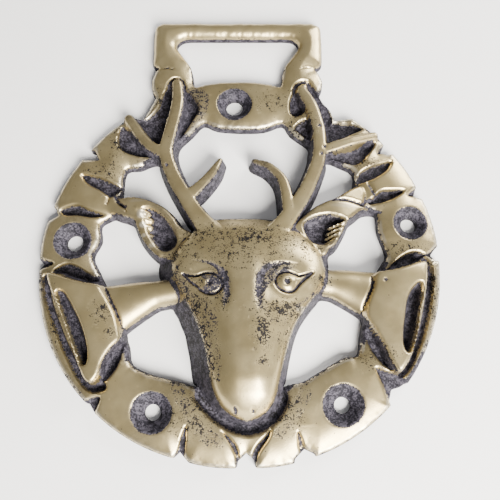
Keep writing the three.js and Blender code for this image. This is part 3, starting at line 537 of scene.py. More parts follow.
def headOf(x, y):
    # Across the face low + (crest - low) sqrt(1 - |q|^fullness), q from edge to edge, a soft band down the
    # nose, and walls to the foot. Also how far a point lies inside the walls' foot and inside the edge.
    outline = np.array(head["left"] + head["right"])[:, ::-1]
    edge = insideCurve(outline, x, y, 12)
    fine = np.linspace(-39, 2, head["rowCount"])
    columns = np.array(table(head["rows"], fine))
    sides = [np.interp(fine, *np.array(sorted(head[side])).T) for side in ("left", "right")]
    columns = np.vstack([columns, sides])
    for _ in range(head["smoothings"]):
        columns[:, 1:-1] = (columns[:, :-2] + 2 * columns[:, 1:-1] + columns[:, 2:]) / 4
    low, crest, wallLeft, wallRight, leftX, rightX = (np.interp(y, fine, column) for column in columns)
    wall = wallLeft + (wallRight - wallLeft) * rise(x, -3, 5)
    half = np.maximum((rightX - leftX) / 2, 0.6)
    q = np.clip(np.abs(x - (leftX + rightX) / 2) / half, 0, 1)
    front = low + (crest - low) * np.sqrt(1 - q ** head["fullness"] * 0.995)
    off = np.abs(x - head["bridgeMiddle"] - head["bridgeLean"] * (-y - 14)) - head["bridgeHalf"]
    length = rise(y, *head["bridgeFoot"]) * (1 - rise(y, *head["bridgeHead"]))
    front = front + head["bridge"] * length * ((1 - rise(off, -0.8, head["bridgeFall"])) - 0.5)
    outside = np.maximum(-edge, 0)
    z = front - low * head["footShare"] * outside / wall
    return np.where(outside > wall + 1.5, -9, z), edge + wall, edge


# Eyes, brows, nostrils and the lines of the face

face = {
    "socket": 0.55, "socketRadii": (4.6, 3.8),
    "ball": 0.6, "ballEdge": 1.6,                   # height of the eye, and the width over which it rises
    "lid": 0.5, "lidWidth": 0.19, "lidRim": 0.1, "lidRimWidth": 0.28,
    "iris": 1.5, "irisDepth": 0.1, "irisWidth": 0.16, "pupil": 0.5, "pupilDepth": 0.5,
    "browDepth": 0.35, "nostrilDepth": 0.5, "pitDepth": 0.22, "pitWidth": 0.36,
    "crackDepth": 0.5, "crackWidth": 0.22,
    "eyes": [
        {"at": (-5.6, -13.7),
         "lid": [(-10.6, -11.6), (-9.2, -12.1), (-7.9, -12.2), (-7, -11.9), (-5.8, -11.7), (-4.6, -11.9),
                 (-3.6, -12.7), (-3.1, -14), (-3.6, -15.1), (-4.8, -15.7), (-6, -15.5), (-7.1, -14.9),
                 (-8, -14), (-9.1, -13.2), (-9.9, -12.4)],
         "brow": [(-8.8, -9.1), (-7.1, -9.4), (-5.5, -9.8), (-4.3, -10.4), (-3, -11.5), (-2.4, -13.1),
                  (-2.2, -14.9), (-2.3, -16.8), (-2.6, -18.6)],
         "browRows": [(0, 0.22, 0.35), (0.25, 0.3, 0.6), (0.5, 0.55, 1), (0.8, 0.6, 0.9), (1, 0.4, 0.2)]},
        {"at": (8.9, -13.4),
         "lid": [(6.9, -12.6), (7.8, -11.7), (9, -11.5), (10.2, -11.8), (11.2, -12.2), (12.3, -11.9),
                 (13.8, -11.4), (12, -12.9), (10.9, -14.1), (10, -15.1), (8.8, -15.3), (7.6, -14.8),
                 (6.8, -13.7)],
         "brow": [(10.9, -9.9), (9.3, -9.8), (7.8, -9.9), (5.9, -10.4), (4.5, -11.4), (3.9, -12.8),
                  (3.7, -14.6), (3.6, -16.4), (3.8, -18.4)],
         "browRows": [(0, 0.25, 0.3), (0.2, 0.4, 0.7), (0.45, 0.75, 1), (0.8, 0.7, 0.8), (1, 0.4, 0.2)]},
    ],
    "nostrils": [(-0.5, -36.3), (2.6, -36.3)],
    "cracks": [[(-27, 3.9), (-26.6, 5.6)], [(-24.4, 3.9), (-23.4, 2.9), (-22.7, 1.8)],
              [(26.2, 8.4), (26.8, 7.5), (27.2, 6.4)]],
    "pits": [(16.5, 20.4), (17.3, 15.6), (16.6, 14.1), (-14.9, 11.5), (27.9, -12.3)],
}


def carveFace(z, x, y):
    # Eye: a ball b(1 - (1 - s)^2) inside the lid's outline, a crease along it and a raised rim. Lines and
    # pits are depth e^-(d / w)^2 or e^-(d / w)^4.
    for eye in face["eyes"]:
        ex, ey = eye["at"]
        wide, high = face["socketRadii"]
        z = z - face["socket"] * fade(np.hypot((x - ex) / wide, (y - ey) / high), 1, 4)
        lid = insideCurve(eye["lid"], x, y)
        z = z + face["ball"] * (1 - (1 - np.clip(lid / face["ballEdge"], 0, 1)) ** 2) * (lid > 0)
        z = z - face["lid"] * fade(lid + 0.02, face["lidWidth"])
        z = z + face["lidRim"] * fade(lid + 0.55, face["lidRimWidth"])
        distance, t = alongCurve(eye["brow"], x, y)
        half, deep = table(eye["browRows"], t)
        z = z - face["browDepth"] * deep * fade(distance, half)
        iris = np.hypot(x - ex, y - ey)
        z = z - face["irisDepth"] * fade(iris - face["iris"], face["irisWidth"]) * (lid > 0.2)
        z = z - face["pupilDepth"] * fade(iris, face["pupil"], 4)
    for at in face["nostrils"]:
        z = z - face["nostrilDepth"] * fade(np.hypot(x - at[0], (y - at[1]) * 0.7), face["pitWidth"], 4)
    for path in face["cracks"]:
        distance, _ = alongCurve(path, x, y, 3, 4)
        z = z - face["crackDepth"] * fade(distance, face["crackWidth"])
    for at in face["pits"]:
        z = z - face["pitDepth"] * fade(np.hypot(x - at[0], y - at[1]), face["pitWidth"], 4)
    return z


# Screw holes, countersunk

screws = {
    "bore": 3.3, "sink": 7.8, "depth": 2.0,
    # middle, and this hole's share of the bore and of the sink
    "holes": [((-1.3, 26.3), 1.1, 0.98), ((-33.3, -3.9), 1.03, 1), ((34.2, -0.2), 0.95, 0.92),
              ((-16.2, -36.8), 0.93, 1.02), ((19.3, -35.5), 0.93, 1.04)],
}


def sinkScrews(z, x, y):
    # A dish round each bore: floor + depth (r - bore) / (sink - bore).
    for at, boreShare, sinkShare in screws["holes"]:
        bore, sink = screws["bore"] * boreShare / 2, screws["sink"] * sinkShare / 2
        q = np.clip((np.hypot(x - at[0], y - at[1]) - bore) / (sink - bore), 0, 9)
        z = softMin(z, plate["face"] - screws["depth"] + screws["depth"] * q, 0.15)
    return z


def boreInside(x, y):
    # How far a point lies inside the nearest bore.
    found = np.full(x.shape, -99.0)
    for at, boreShare, _ in screws["holes"]:
        found = np.maximum(found, screws["bore"] * boreShare / 2 - np.hypot(x - at[0], y - at[1]))
    return found


# The whole face, from all of these

casting = {
    # the low ground round the muzzle: its width, what is taken off further up, y of the change, slope beyond
    "ditch": 0.8, "ditchLess": 2.2, "ditchFrom": (-34.5, -31), "ditchSlope": 2.2,
    # height above which the plate is worn bare, how much lower on the loop, and y of the change
    "bareAbove": 2.35, "bareLower": 0.5, "bareFrom": (34, 37),
    # how uneven the face is, in rows of height, size and seed: everywhere, then on low ground only
    "uneven": [(0.05, 5.5, 3), (0.02, 2.1, 4)],
    "unevenLow": [(0.10, 1.1, 5), (0.07, 0.6, 6)], "lowGround": (1.8, 2.9),
    "thinnest": 0.9,
}


def unevenness(rows, x, y):
    # The sum of height times waviness over the rows.
    return sum(height * waviness(x, y, size, seed) for height, size, seed in rows)


def castForm(x, y):
    # Height of the face, and how far a point lies inside its upper outline, its foot and its worn faces.
    within = plateInside(x, y)
    z = cutHollows(plateHeight(np.maximum(within, 0), y), x, y)
    z = np.where(within > -0.3, z, -9.0)
    headZ, headFoot, headEdge = headOf(x, y)
    ditch = -headFoot - casting["ditch"] + casting["ditchLess"] * rise(y, *casting["ditchFrom"])
    z = cutTo(hollows["web"] + 0.1, ditch, z, casting["ditchSlope"], hollows["rim"])
    above = z - casting["bareAbove"] + casting["bareLower"] * rise(y, *casting["bareFrom"])
    bare = np.minimum(within - 0.1, above * 2)
    ridgeZ, ridgeIn, ridgeFoot, ridgeBare = ridgesOf(x, y)
    bare = np.where(ridgeIn > 0.1, ridgeBare, bare)
    z = softMax(z, ridgeZ, 0.3)
    depth, foot = softMax(within, ridgeIn, 0.6), softMax(within + 0.12, ridgeFoot, 0.6)
    for horn in horns:
        z, tubeIn, bellIn, clear = hornOf(z, horn, x, y)
        hornIn = np.maximum(tubeIn, bellIn)
        bare = np.where(hornIn > 0, np.minimum(hornIn, clear), bare)
        depth = softMax(depth, hornIn, 0.5)
        foot = softMax(foot, np.maximum(tubeIn + 0.25, bellIn + 0.3), 0.5)
    z = softMax(z, headZ, 0.5)
    depth, foot = softMax(depth, headFoot - 0.5, 0.6), softMax(foot, headFoot + 0.1, 0.6)
    bare = np.maximum(bare, headEdge)
    raised = carveFace(z, x, y)
    z = sinkScrews(raised, x, y)
    bare = np.where(raised - z > 0.06, -1, bare)
    low = 1 - rise(z, *casting["lowGround"])
    z = z + unevenness(casting["uneven"], x, y) + low * unevenness(casting["unevenLow"], x, y)
    bore = boreInside(x, y)
    return np.maximum(z, casting["thinnest"]), np.minimum(depth, -bore), np.minimum(foot, -bore), bare


# The mesh

meshing = {
    # where a spacing starts along x and along y, finer over the eyes
    "columns": [(-40.6, 0.3), (-12, 0.22), (15, 0.3), (40.6, 0)],
    "rows": [(-47.2, 0.3), (-40, 0.26), (-17, 0.21), (-8.2, 0.29), (47.2, 0)],
    "pull": 0.2,                # how far a point may be drawn towards the outline at a time
    # walls: rows, power of their lean, most that they lean out, and how rough they are
    "wallRows": 7, "wallPower": 1.3, "leanMost": 1.6, "wallRough": 0.07,
    "tight": 0.3, "easing": 0.75,   # neighbours that come closer than this share draw back by this factor
    "backSpacing": 1.3, "backUneven": 0.12, "backWaves": 0.6,
}


def spaced(stops):
    # Grid lines: from each stop to the next at about the first one's spacing.
    parts = [np.linspace(a, b, round((b - a) / step), endpoint=False)
             for (a, step), (b, _) in zip(stops[:-1], stops[1:])]
    return np.concatenate(parts + [[stops[-1][0]]])


def readGrid(field, columns, rows, x, y):
    # A grid's value between its lines, mixed from the four corners of the cell.
    u = np.clip(np.interp(x, columns, np.arange(len(columns))), 0, len(columns) - 1.001)
    v = np.clip(np.interp(y, rows, np.arange(len(rows))), 0, len(rows) - 1.001)
    i, j = u.astype(int), v.astype(int)
    s, t = u - i, v - j
    return ((field[j, i] * (1 - s) + field[j, i + 1] * s) * (1 - t)
            + (field[j + 1, i] * (1 - s) + field[j + 1, i + 1] * s) * t)


def spread(field, cells):
    # Blur: the mean over a square of cells, three times over.
    for _ in range(3):
        for axis in (0, 1):
            padded = np.pad(field, [(cells + 1, cells) if n == axis else (0, 0) for n in (0, 1)], mode="edge")
            total = np.cumsum(padded, axis=axis)
            count = 2 * cells + 1
            take = lambda a, b: total[a:b, :] if axis == 0 else total[:, a:b]
            field = (take(count, None) - take(0, -count)) / count
    return field


def highest(field, cells):
    # The highest value within a square of cells.
    for axis in (0, 1):
        field = np.max([np.roll(field, n, axis) for n in range(-cells, cells + 1)], axis=0)
    return field


def buildFace():
    # Grid points inside the outline, and those beside it drawn onto it: p - g d / |g|^2, g the slope of d.
    # Faces are the grid's squares, and triangles where one corner is missing.
    columns, rows = spaced(meshing["columns"]), spaced(meshing["rows"])
    x, y = np.meshgrid(columns, rows)
    z, depth, foot, bare = castForm(x, y)
    slopeY, slopeX = np.gradient(depth, rows, columns)
    within = depth > 0
    snapped = np.zeros(within.shape, bool)
    for a, b in (((slice(None), slice(None, -1)), (slice(None), slice(1, None))),
                 ((slice(None, -1), slice(None)), (slice(1, None), slice(None)))):
        crosses = within[a] != within[b]
        nearer = np.abs(depth[a]) < np.abs(depth[b])
        snapped[a] |= crosses & nearer
        snapped[b] |= crosses & ~nearer
    used = within | snapped
    px, py = x.copy(), y.copy()
    for _ in range(3):
        sx, sy = px[snapped], py[snapped]
        d, gx, gy = (readGrid(f, columns, rows, sx, sy) for f in (depth, slopeX, slopeY))
        pull = np.clip(d / np.maximum(gx ** 2 + gy ** 2, 0.25), -meshing["pull"], meshing["pull"])
        px[snapped], py[snapped] = sx - pull * gx, sy - pull * gy
    number = np.full(used.shape, -1)
    number[used] = np.arange(used.sum())
    corners = np.stack([number[:-1, :-1], number[:-1, 1:], number[1:, 1:], number[1:, :-1]], -1)
    corners = corners.reshape(-1, 4)
    solid = (within & ~snapped)[used]
    points = np.stack([px[used], py[used]], 1)
    faces = []
    for missing in (None, 0, 1, 2, 3):
        kept = [n for n in range(4) if n != missing]
        there = (corners[:, kept] >= 0).all(1)
        if missing is not None:
            there &= corners[:, missing] < 0
        chosen = corners[there][:, kept]
        middle = points[chosen].mean(1)
        deep = readGrid(depth, columns, rows, middle[:, 0], middle[:, 1]) > 0
        chosen = chosen[solid[chosen].any(1) | deep]
        faces.append(chosen)
    fields = {"columns": columns, "rows": rows, "z": z, "foot": foot, "bare": bare,
              "slopeX": slopeX, "slopeY": slopeY}
    return points, faces, fields


def openEdges(faces):
    # Edges that only one face uses, in that face's direction.
    edges = np.vstack([np.stack([f, np.roll(f, -1, axis=1)], -1).reshape(-1, 2) for f in faces if len(f)])
    key = np.sort(edges, axis=1) @ np.array([1 << 32, 1])
    _, first, count = np.unique(key, return_index=True, return_counts=True)
    return edges[first[count == 1]]


def flareOf(points, edges, fields):
    # Which points are on the border, which way is out, and how far the wall leans out at its foot, eased
    # wherever neighbours would cross.
    border = np.unique(edges)
    local = np.full(len(points), -1)
    local[border] = np.arange(len(border))
    ends = local[edges]
    at = points[border]
    read = lambda name: readGrid(fields[name], fields["columns"], fields["rows"], at[:, 0], at[:, 1])
    outward = -np.stack([read("slopeX"), read("slopeY")], 1)
    for _ in range(3):
        summed = outward.copy()
        np.add.at(summed, ends[:, 0], outward[ends[:, 1]])
        np.add.at(summed, ends[:, 1], outward[ends[:, 0]])
        outward = summed / np.maximum(np.linalg.norm(summed, axis=1, keepdims=True), 1e-6)
    reach = np.clip(read("foot"), 0, meshing["leanMost"])
    for step in range(40):
        moved = at + outward * reach[:, None]
        along = at[ends[:, 1]] - at[ends[:, 0]]
        now = moved[ends[:, 1]] - moved[ends[:, 0]]
        tight = (along * now).sum(1) < meshing["tight"] * (along ** 2).sum(1)
        if step > 5 and not tight.any():
            break
        reach[ends[tight].ravel()] *= meshing["easing"]
        summed, count = reach * 2, np.full(len(reach), 2.0)
        np.add.at(summed, ends[:, 0], reach[ends[:, 1]])
        np.add.at(summed, ends[:, 1], reach[ends[:, 0]])
        np.add.at(count, ends.ravel(), 1.0)
        reach = np.minimum(reach, summed / count)
    return border, local, outward, reach


def buildBrass():
    # The face, walls p + n reach (k / K)^power in rows down from its edge, and a flat back across their feet.
    points, faces, fields = buildFace()
    z = castForm(points[:, 0], points[:, 1])[0]
    print("  face points", len(points))
    edges = openEdges(faces)
    border, local, outward, reach = flareOf(points, edges, fields)
    wallRows, count = meshing["wallRows"], len(border)
    share = (np.arange(1, wallRows + 1) / wallRows)[:, None]
    lean = reach[None, :] * share ** meshing["wallPower"]
    walls = points[border][None] + outward[None] * lean[..., None]
    heights = z[border][None] * (1 - share)
    rough = waviness(walls[..., 0] * 1.4 + heights, walls[..., 1] * 1.4 + heights, 0.8, 8)
    rough = meshing["wallRough"] * rough
    walls += outward[None] * (rough * np.sin(math.pi * share))[..., None]
    wallsFrom = len(points)
    ring = lambda n: local[edges] + wallsFrom + (n - 1) * count if n else edges
    sides = []
    for n in range(wallRows):
        upper, lower = ring(n), ring(n + 1)
        sides.append(np.stack([upper[:, 1], upper[:, 0], lower[:, 0], lower[:, 1]], 1))
    sides = np.vstack(sides)
    backPoints, backFaces = buildBack(walls[-1], local[edges], fields)
    position = np.vstack([points, walls.reshape(-1, 2), backPoints[:, :2]])
    height = np.concatenate([z, heights.reshape(-1), backPoints[:, 2]])
    backFaces = backFaces + wallsFrom + (wallRows - 1) * count
    print("  walls", len(sides), "back", len(backFaces))
    return np.column_stack([position, height]), faces, sides, backFaces, fields, wallsFrom


def buildBack(feet, ends, fields):
    # Triangles between the walls' feet and a wide grid: flat where it bears, a little hollow inside.
    gap = meshing["backSpacing"]
    x, y = np.meshgrid(np.arange(-40, 40.1, gap), np.arange(-47, 47.1, gap))
    deep = readGrid(fields["foot"], fields["columns"], fields["rows"], x, y)
    keep = deep > gap * 0.75
    inner = np.column_stack([x[keep], y[keep]])
    waves = 1 + meshing["backWaves"] * waviness(inner[:, 0], inner[:, 1], 3.1, 9)
    hollow = meshing["backUneven"] * rise(deep[keep], 0.8, 4) * waves
    flat = np.vstack([feet, inner])
    points, joined = [tuple(p) for p in flat], [tuple(e) for e in ends.tolist()]
    corners, _, triangles, origins, _, _ = delaunay_2d_cdt(points, joined, [], 0, 1e-7)
    source = np.array([o[0] if o else -1 for o in origins])
    print("  back points", len(flat), "of", len(corners))
    triangles = source[np.array(triangles)]
    triangles = triangles[(triangles >= 0).all(1)]
    within = crossings(feet, ends, flat[triangles].mean(1))
    triangles = triangles[within][:, ::-1]
    return np.column_stack([inner, hollow]), triangles


def crossings(feet, ends, at):
    # Whether a point lies inside the feet's outlines: a ray to its left crosses them an odd number of times.
    a, b = feet[ends[:, 0]], feet[ends[:, 1]]
    odd = np.zeros(len(at), bool)
    for part in np.array_split(np.arange(len(at)), 40):
        x, y = at[part, 0][:, None], at[part, 1][:, None]
        spans = (a[None, :, 1] > y) != (b[None, :, 1] > y)
        climb = np.where(b[:, 1] == a[:, 1], 1.0, b[:, 1] - a[:, 1])
        hits = spans & (x < (b[:, 0] - a[:, 0])[None] * (y - a[None, :, 1]) / climb[None] + a[None, :, 0])
        odd[part] = hits.sum(1) % 2 == 1
    return odd


# Where dirt stays, where hands and polish wear the metal bright, and where highlights and shade are painted
# in

wear = {
    # where each begins and is full: worn faces by depth inside them, dirt by how low, steep or thin it is
    "clean": (-0.1, 0.35), "low": (0.55, 2.1), "steep": (0.6, 1.8), "ground": (1.45, 2.15),
    "dip": (0.3, 0.95),
    "shadeAndDirtEdge": (-0.35, 0.25), "sinkEdge": (-0.35, 0.15),
    # widths of the dirt along lids, brows (against the brow's own), creases and pits
    "lidWidth": 0.27, "browShare": 1.4, "creaseWidth": 0.34, "pitWidth": 0.42,
    # painted shade mixed with dark patina: how dark the face is made inside an outline
    "shadeAndDirt": [
        (0.56, [(4.4, -11), (6.2, -10.7), (7.4, -11.6), (6.9, -12.7), (5.9, -13.7), (5, -14.9), (4.6, -16.8),
                (4.4, -18.8), (3.2, -18.2), (3.1, -14.9), (3.4, -12.4)]),
        (0.62, [(-4.6, -10.2), (-3, -11.3), (-2.1, -13.1), (-2, -15.5), (-2.5, -18.8), (-3.1, -17),
                (-3, -14.4), (-3.7, -12.3)]),
        (0.50, [(-12.6, -6), (-13.3, -9.7), (-11.9, -13.9), (-9.7, -17.6), (-7.9, -21.3), (-6.5, -25.6),
                (-5.7, -29.8), (-5, -32), (-4.3, -30), (-4.8, -26), (-5.8, -22.4), (-7, -19), (-8.8, -15.4),
                (-10.6, -12.4), (-11.6, -9.5), (-11.7, -7)]),
        (0.66, [(-7.2, -12.1), (-4.6, -12.2), (-3.4, -13.6), (-4.2, -15.1), (-6, -15.3), (-7, -14.5),
                (-5.9, -13.6)]),
        (0.60, [(4.6, -11.2), (6.4, -10.5), (8.6, -10.2), (10.8, -10.2), (9.4, -11.1), (7.6, -11.8),
                (6.2, -12.6)]),
        (0.40, [(-11.5, -10), (-9, -16), (-7, -21), (-5.6, -26), (-4.9, -31), (-3, -31), (-3.2, -26),
                (-3.6, -21), (-4.6, -17.5), (-7.5, -16), (-10, -12.5)]),
        (0.52, [(9, -18.6), (11.4, -16.8), (13.6, -15.2), (15.6, -13), (15.2, -14.6), (13.4, -16.2),
                (11, -18)]),
        (0.42, [(4.2, -18.6), (5.6, -19.4), (7.4, -18.8), (10, -19.6), (8.4, -21), (6, -21), (4.8, -25.4),
                (3.6, -24)]),
        (0.43, [(-12, -30), (-10, -33), (-8, -36), (-6, -39), (-3, -41), (-3, -43), (-7, -42), (-10.5, -37),
                (-13, -32)]),
        (0.42, [(13, -30), (11, -33), (9.4, -36), (8, -38.6), (6, -40.5), (8, -41.4), (11, -38),
                (13.4, -34)]),
        (0.9, [(8.5, -13), (9.3, -13), (9.4, -13.8), (8.6, -13.9)]),
        (0.9, [(-5.5, -13.1), (-4.9, -13.4), (-5, -14.2), (-5.8, -14.2)]),
        (0.9, [(-0.8, -35.8), (-0.3, -36), (-0.2, -36.9), (-0.7, -37)]),
        (0.85, [(2.4, -36.3), (2.8, -36.3), (2.8, -36.8), (2.4, -36.8)]),
        (0.47, [(-7, 28.8), (-9.6, 30.8), (-11.4, 30), (-11, 26), (-10.4, 21), (-8.6, 22.6), (-6.8, 25.2)]),
    ],
    # middle, radii and strength of painted highlights, places made pale where the light falls brightest:
    # tufts of the ears, cheek, tips
    "paintedHighlights": [(-19.6, 1.2, 1, 1.1, 1.3), (-19.1, -1.1, 0.9, 0.8, 1.3), (-18.8, -3.3, 0.6, 0.5, 1.1),
               (-17.2, -5.4, 0.8, 0.6, 1), (11.8, -18.4, 1.8, 0.8, 1), (-20.6, 4, 2.4, 0.5, 0.7),
               (18.8, -2.4, 1.4, 1.6, 0.9), (21, 3, 4, 0.7, 0.8), (-8, 24, 1.8, 0.5, 0.7)],
    # middle, radii and strength of the places where pits and dirt show through the worn face
    "grime": [(2, -4.2, 5.5, 2.6, 1.15), (-7, -3.6, 5, 2, 0.85), (9, -5.2, 4, 2, 0.8), (-12, -7, 3, 3, 0.6),
              (0, -8, 10, 3, 0.5), (12.6, -6.6, 3, 2.4, 0.7), (5.2, -11.6, 1.9, 1.9, 1.2),
              (4.3, -22.4, 1.3, 3.2, 1.7), (8, -18.8, 4.2, 1.7, 1.4), (4.3, -27.9, 0.8, 0.9, 1.5),
              (8.6, -24, 1.4, 4.6, 0.6), (-3, -17, 1.2, 2, 0.8), (-8.6, -20, 2.6, 6, 0.95),
              (-6, -27, 1.6, 6, 0.55), (15.6, -12.6, 1.6, 1.6, 1), (8.6, -36.6, 3, 3, 0.9),
              (-8.5, -38.6, 4, 2.6, 0.7), (-7, -36, 2.4, 2.6, 0.9), (7, -10.4, 3, 0.8, 1.1),
              (-25.6, 16, 1.4, 4, 0.9), (-27, 11, 4, 1.6, 0.8), (26, 12.8, 2.4, 1.2, 1),
              (12.4, 21, 2.4, 3.4, 1), (-17.4, 26, 1, 3.4, 0.8), (38, -17, 1.2, 9, 0.9),
              (-26, -18.4, 1.5, 1.7, 1.4), (-24.2, -22.3, 0.9, 0.9, 1.4), (26, -27, 3, 2, 0.7),
              (33, -5.4, 4, 1.2, 0.7), (-22, 12.6, 2, 0.8, 0.4), (6.5, 26.8, 3, 2.2, 0.6),
              (-9, 27, 1.8, 4, 0.6), (-35.6, -22, 1, 8, 0.6)],
}


def wearOf(shape, fields, wallsFrom):
    # Dirt from 0 to 1 where the face lies below what is round it, with painted shade added inside listed
    # outlines, proud above 0 where it stands above, with painted highlights added at listed places, haze as
    # the dirt spread wide, and grime in marked places. Walls and back are all dirt.
    columns, rows = fields["columns"], fields["rows"]
    gridX, gridY = np.meshgrid(columns, rows)
    loop = loopShare(gridY)
    ground = np.where(fields["foot"] > 0, fields["z"], casting["thinnest"])
    clean = rise(fields["bare"], *wear["clean"])
    low = rise(spread(highest(ground, 6), 3) - ground, *wear["low"])
    # proud: height over the surroundings, which later makes raised rims pale, as rubbed metal and as painted
    # highlight
    proud = np.clip((ground - spread(ground, 3)) / 0.35, -1, 1)
    slopeY, slopeX = np.gradient(spread(ground, 1), rows, columns)
    steep = rise(np.hypot(slopeX, slopeY), *wear["steep"])
    dirt = np.maximum(low, steep * 0.9) * (1 - clean)
    dirt = dirt * (1 - 0.8 * loop)
    dirt = np.maximum(dirt, 1 - rise(ground + 0.7 * loop, *wear["ground"]))
    dirt = np.maximum(dirt, (0.9 - 0.6 * loop) * rise(-proud, *wear["dip"]))
    # painted shade, partly dark patina: the listed outlines darken the dirt mask
    for level, outline in wear["shadeAndDirt"]:
        deep = rise(insideCurve(outline, gridX, gridY, 3), *wear["shadeAndDirtEdge"])
        dirt = np.maximum(dirt, level * deep)
    for eye in face["eyes"]:
        lid = insideCurve(eye["lid"], gridX, gridY)
        distance, t = alongCurve(eye["brow"], gridX, gridY)
        half, deep = table(eye["browRows"], t)
        dirt = np.maximum(dirt, 0.9 * fade(lid, wear["lidWidth"], 4))
        dirt = np.maximum(dirt, np.sqrt(deep) * 0.8 * fade(distance, half * wear["browShare"], 4))
    for path in [path for ear in ears["forms"] for path in ear["creases"]]:
        distance, _ = alongCurve(path, gridX, gridY, 3, 6)
        dirt = np.maximum(dirt, 0.9 * fade(distance, wear["creaseWidth"], 4))
    for at, _, sinkShare in screws["holes"]:
        beyond = np.hypot(gridX - at[0], gridY - at[1]) - screws["sink"] * sinkShare / 2
        dirt = np.maximum(dirt, 1 - rise(beyond, *wear["sinkEdge"]))
    for at in face["pits"]:
        dirt = np.maximum(dirt, fade(np.hypot(gridX - at[0], gridY - at[1]), wear["pitWidth"], 4))
    dirt = np.clip(dirt, 0, 1)
    proud = proud * (1 - 0.75 * clean)
    # painted highlights: the listed places raise proud, which turns the colour pale
    for bx, by, a, b, level in wear["paintedHighlights"]:
        proud = np.maximum(proud, level * fade(np.hypot((gridX - bx) / a, (gridY - by) / b), 1, 4))
    x, y = shape[:, 0], shape[:, 1]
    grime = np.zeros(len(x))
    for gx, gy, a, b, strength in wear["grime"]:
        grime = np.maximum(grime, strength * fade(np.hypot((x - gx) / a, (y - gy) / b), 1))
    made = {name: readGrid(field, columns, rows, x, y)
            for name, field in (("dirt", dirt), ("proud", proud), ("haze", spread(dirt, 4)))}
    made["dirt"][wallsFrom:] = 1
    made["proud"][wallsFrom:] = 0
    return {**made, "grime": grime}


def makeBrass():
    # One mesh: face and walls in the first material, back in the second, wear as four attributes.
    shape, faces, sides, backFaces, fields, wallsFrom = buildBrass()
    allFaces = [f for group in faces for f in group.tolist()] + sides.tolist()
    frontCount = len(allFaces)
    allFaces += backFaces.tolist()
    mesh = bpy.data.meshes.new("horseBrass")
    metres = (shape + np.array([0, lift, 0])) * mm
    mesh.from_pydata(metres.tolist(), [], allFaces)
    # dirt also carries painted shade, and proud carries painted highlights
    for name, values in wearOf(shape, fields, wallsFrom).items():
        mesh.attributes.new(name, "FLOAT", "POINT").data.foreach_set("value", values.astype(np.float32))
    back = np.zeros(len(allFaces), np.int32)
    back[frontCount:] = 1
    mesh.polygons.foreach_set("material_index", back)
    mesh.shade_smooth()
    mesh.set_sharp_from_angle(angle=math.radians(62))
    mesh.update()
    print("  problems in the mesh:", mesh.validate(verbose=False))
    piece = bpy.data.objects.new("cast_brass", mesh)
    bpy.context.scene.collection.objects.link(piece)
    return piece


# Materials

def newMaterial(name):
    material = bpy.data.materials.new(name)
    material.use_nodes = True
    return material, material.node_tree, material.node_tree.nodes["Principled BSDF"]


def addNode(tree, kind, inputs=None, **settings):
    made = tree.nodes.new("ShaderNode" + kind)
    for name, value in settings.items():
        setattr(made, name, value)
    for name, value in (inputs or {}).items():
        if isinstance(value, bpy.types.NodeSocket):
            tree.links.new(value, made.inputs[name])
        else:
            made.inputs[name].default_value = value
    return made


def maths(tree, operation, *values, clamp=False):
    return addNode(tree, "Math", dict(enumerate(values)), operation=operation, use_clamp=clamp).outputs[0]


def between(tree, value, low, high):
    # 0 at low and 1 at high, eased.
    return addNode(tree, "MapRange", {"Value": value, "From Min": low, "From Max": high},
                   interpolation_type="SMOOTHSTEP").outputs["Result"]


def mixColours(tree, share, first, second):
    made = addNode(tree, "Mix", {0: share, 6: first, 7: second}, data_type="RGBA")
    return made.outputs[2]


def castGrain():
    # Shader group: the grain that a sand mould leaves, as a height and as a mask of its low specks.
    tree = bpy.data.node_groups.new("castGrain", "ShaderNodeTree")
    for name, kind in (("Place", "Vector"), ("Size", "Float"), ("Sharpness", "Float")):
        tree.interface.new_socket(name=name, in_out="INPUT", socket_type="NodeSocket" + kind)
    for name in ("Height", "Specks"):
        tree.interface.new_socket(name=name, in_out="OUTPUT", socket_type="NodeSocketFloat")
    given, out = tree.nodes.new("NodeGroupInput"), tree.nodes.new("NodeGroupOutput")
    scale = maths(tree, "DIVIDE", 1.0, given.outputs["Size"])
    wide = maths(tree, "MULTIPLY", scale, 0.3)
    place = given.outputs["Place"]
    fine = addNode(tree, "TexNoise", {"Vector": place, "Scale": scale, "Detail": 5.0, "Roughness": 0.62})
    coarse = addNode(tree, "TexNoise", {"Vector": place, "Scale": wide, "Detail": 2.0})
    height = maths(tree, "ADD", maths(tree, "MULTIPLY", fine.outputs["Fac"], 0.65),
                   maths(tree, "MULTIPLY", coarse.outputs["Fac"], 0.35))
    tree.links.new(height, out.inputs["Height"])
    low = maths(tree, "SUBTRACT", 0.5, height)
    specks = maths(tree, "MULTIPLY_ADD", low, given.outputs["Sharpness"], 0.5, clamp=True)
    tree.links.new(specks, out.inputs["Specks"])
    return tree


brassLooks = {
    # worn metal in two tones, the brown beside the dirt, rims partly rubbed bare and partly painted
    # highlight; the dirt in two tones; the pits
    "worn": (0.530, 0.434, 0.230, 1), "wornDeep": (0.440, 0.352, 0.176, 1), "haze": (0.150, 0.124, 0.086, 1),
    "bare": (0.70, 0.63, 0.47, 1),
    "dirt": (0.009, 0.008, 0.012, 1), "dirtPale": (0.066, 0.060, 0.076, 1), "pit": (0.006, 0.005, 0.005, 1),
    "grain": 0.00032, "sharpness": 6.0,                     # size of the grain in metres, edge of its specks
    "dirtEdge": (0.43, 0.53), "ragged": 0.5,                # where dirt begins and is full, and how ragged
    "pitSize": 0.0003, "pitRare": 0.012, "pitGrime": 0.6,   # size, chance anywhere, and what grime adds
    "stain": 0.55, "stainEdge": (1.0, 1.1),
    "cloudScale": 800.0, "toneScale": 170.0, "smudgeScale": 420.0,
    "metallic": 0.93, "dirtMetallic": 0.12, "polish": 0.27, "smudge": 0.14, "dirtRoughness": 0.62,
    "specular": 0.5, "dirtSpecular": -0.3,                  # the second is what dirt takes off
    "bump": 0.6, "bumpHeight": 0.00028, "wornBump": 0.12, "dirtBump": 0.7,
}


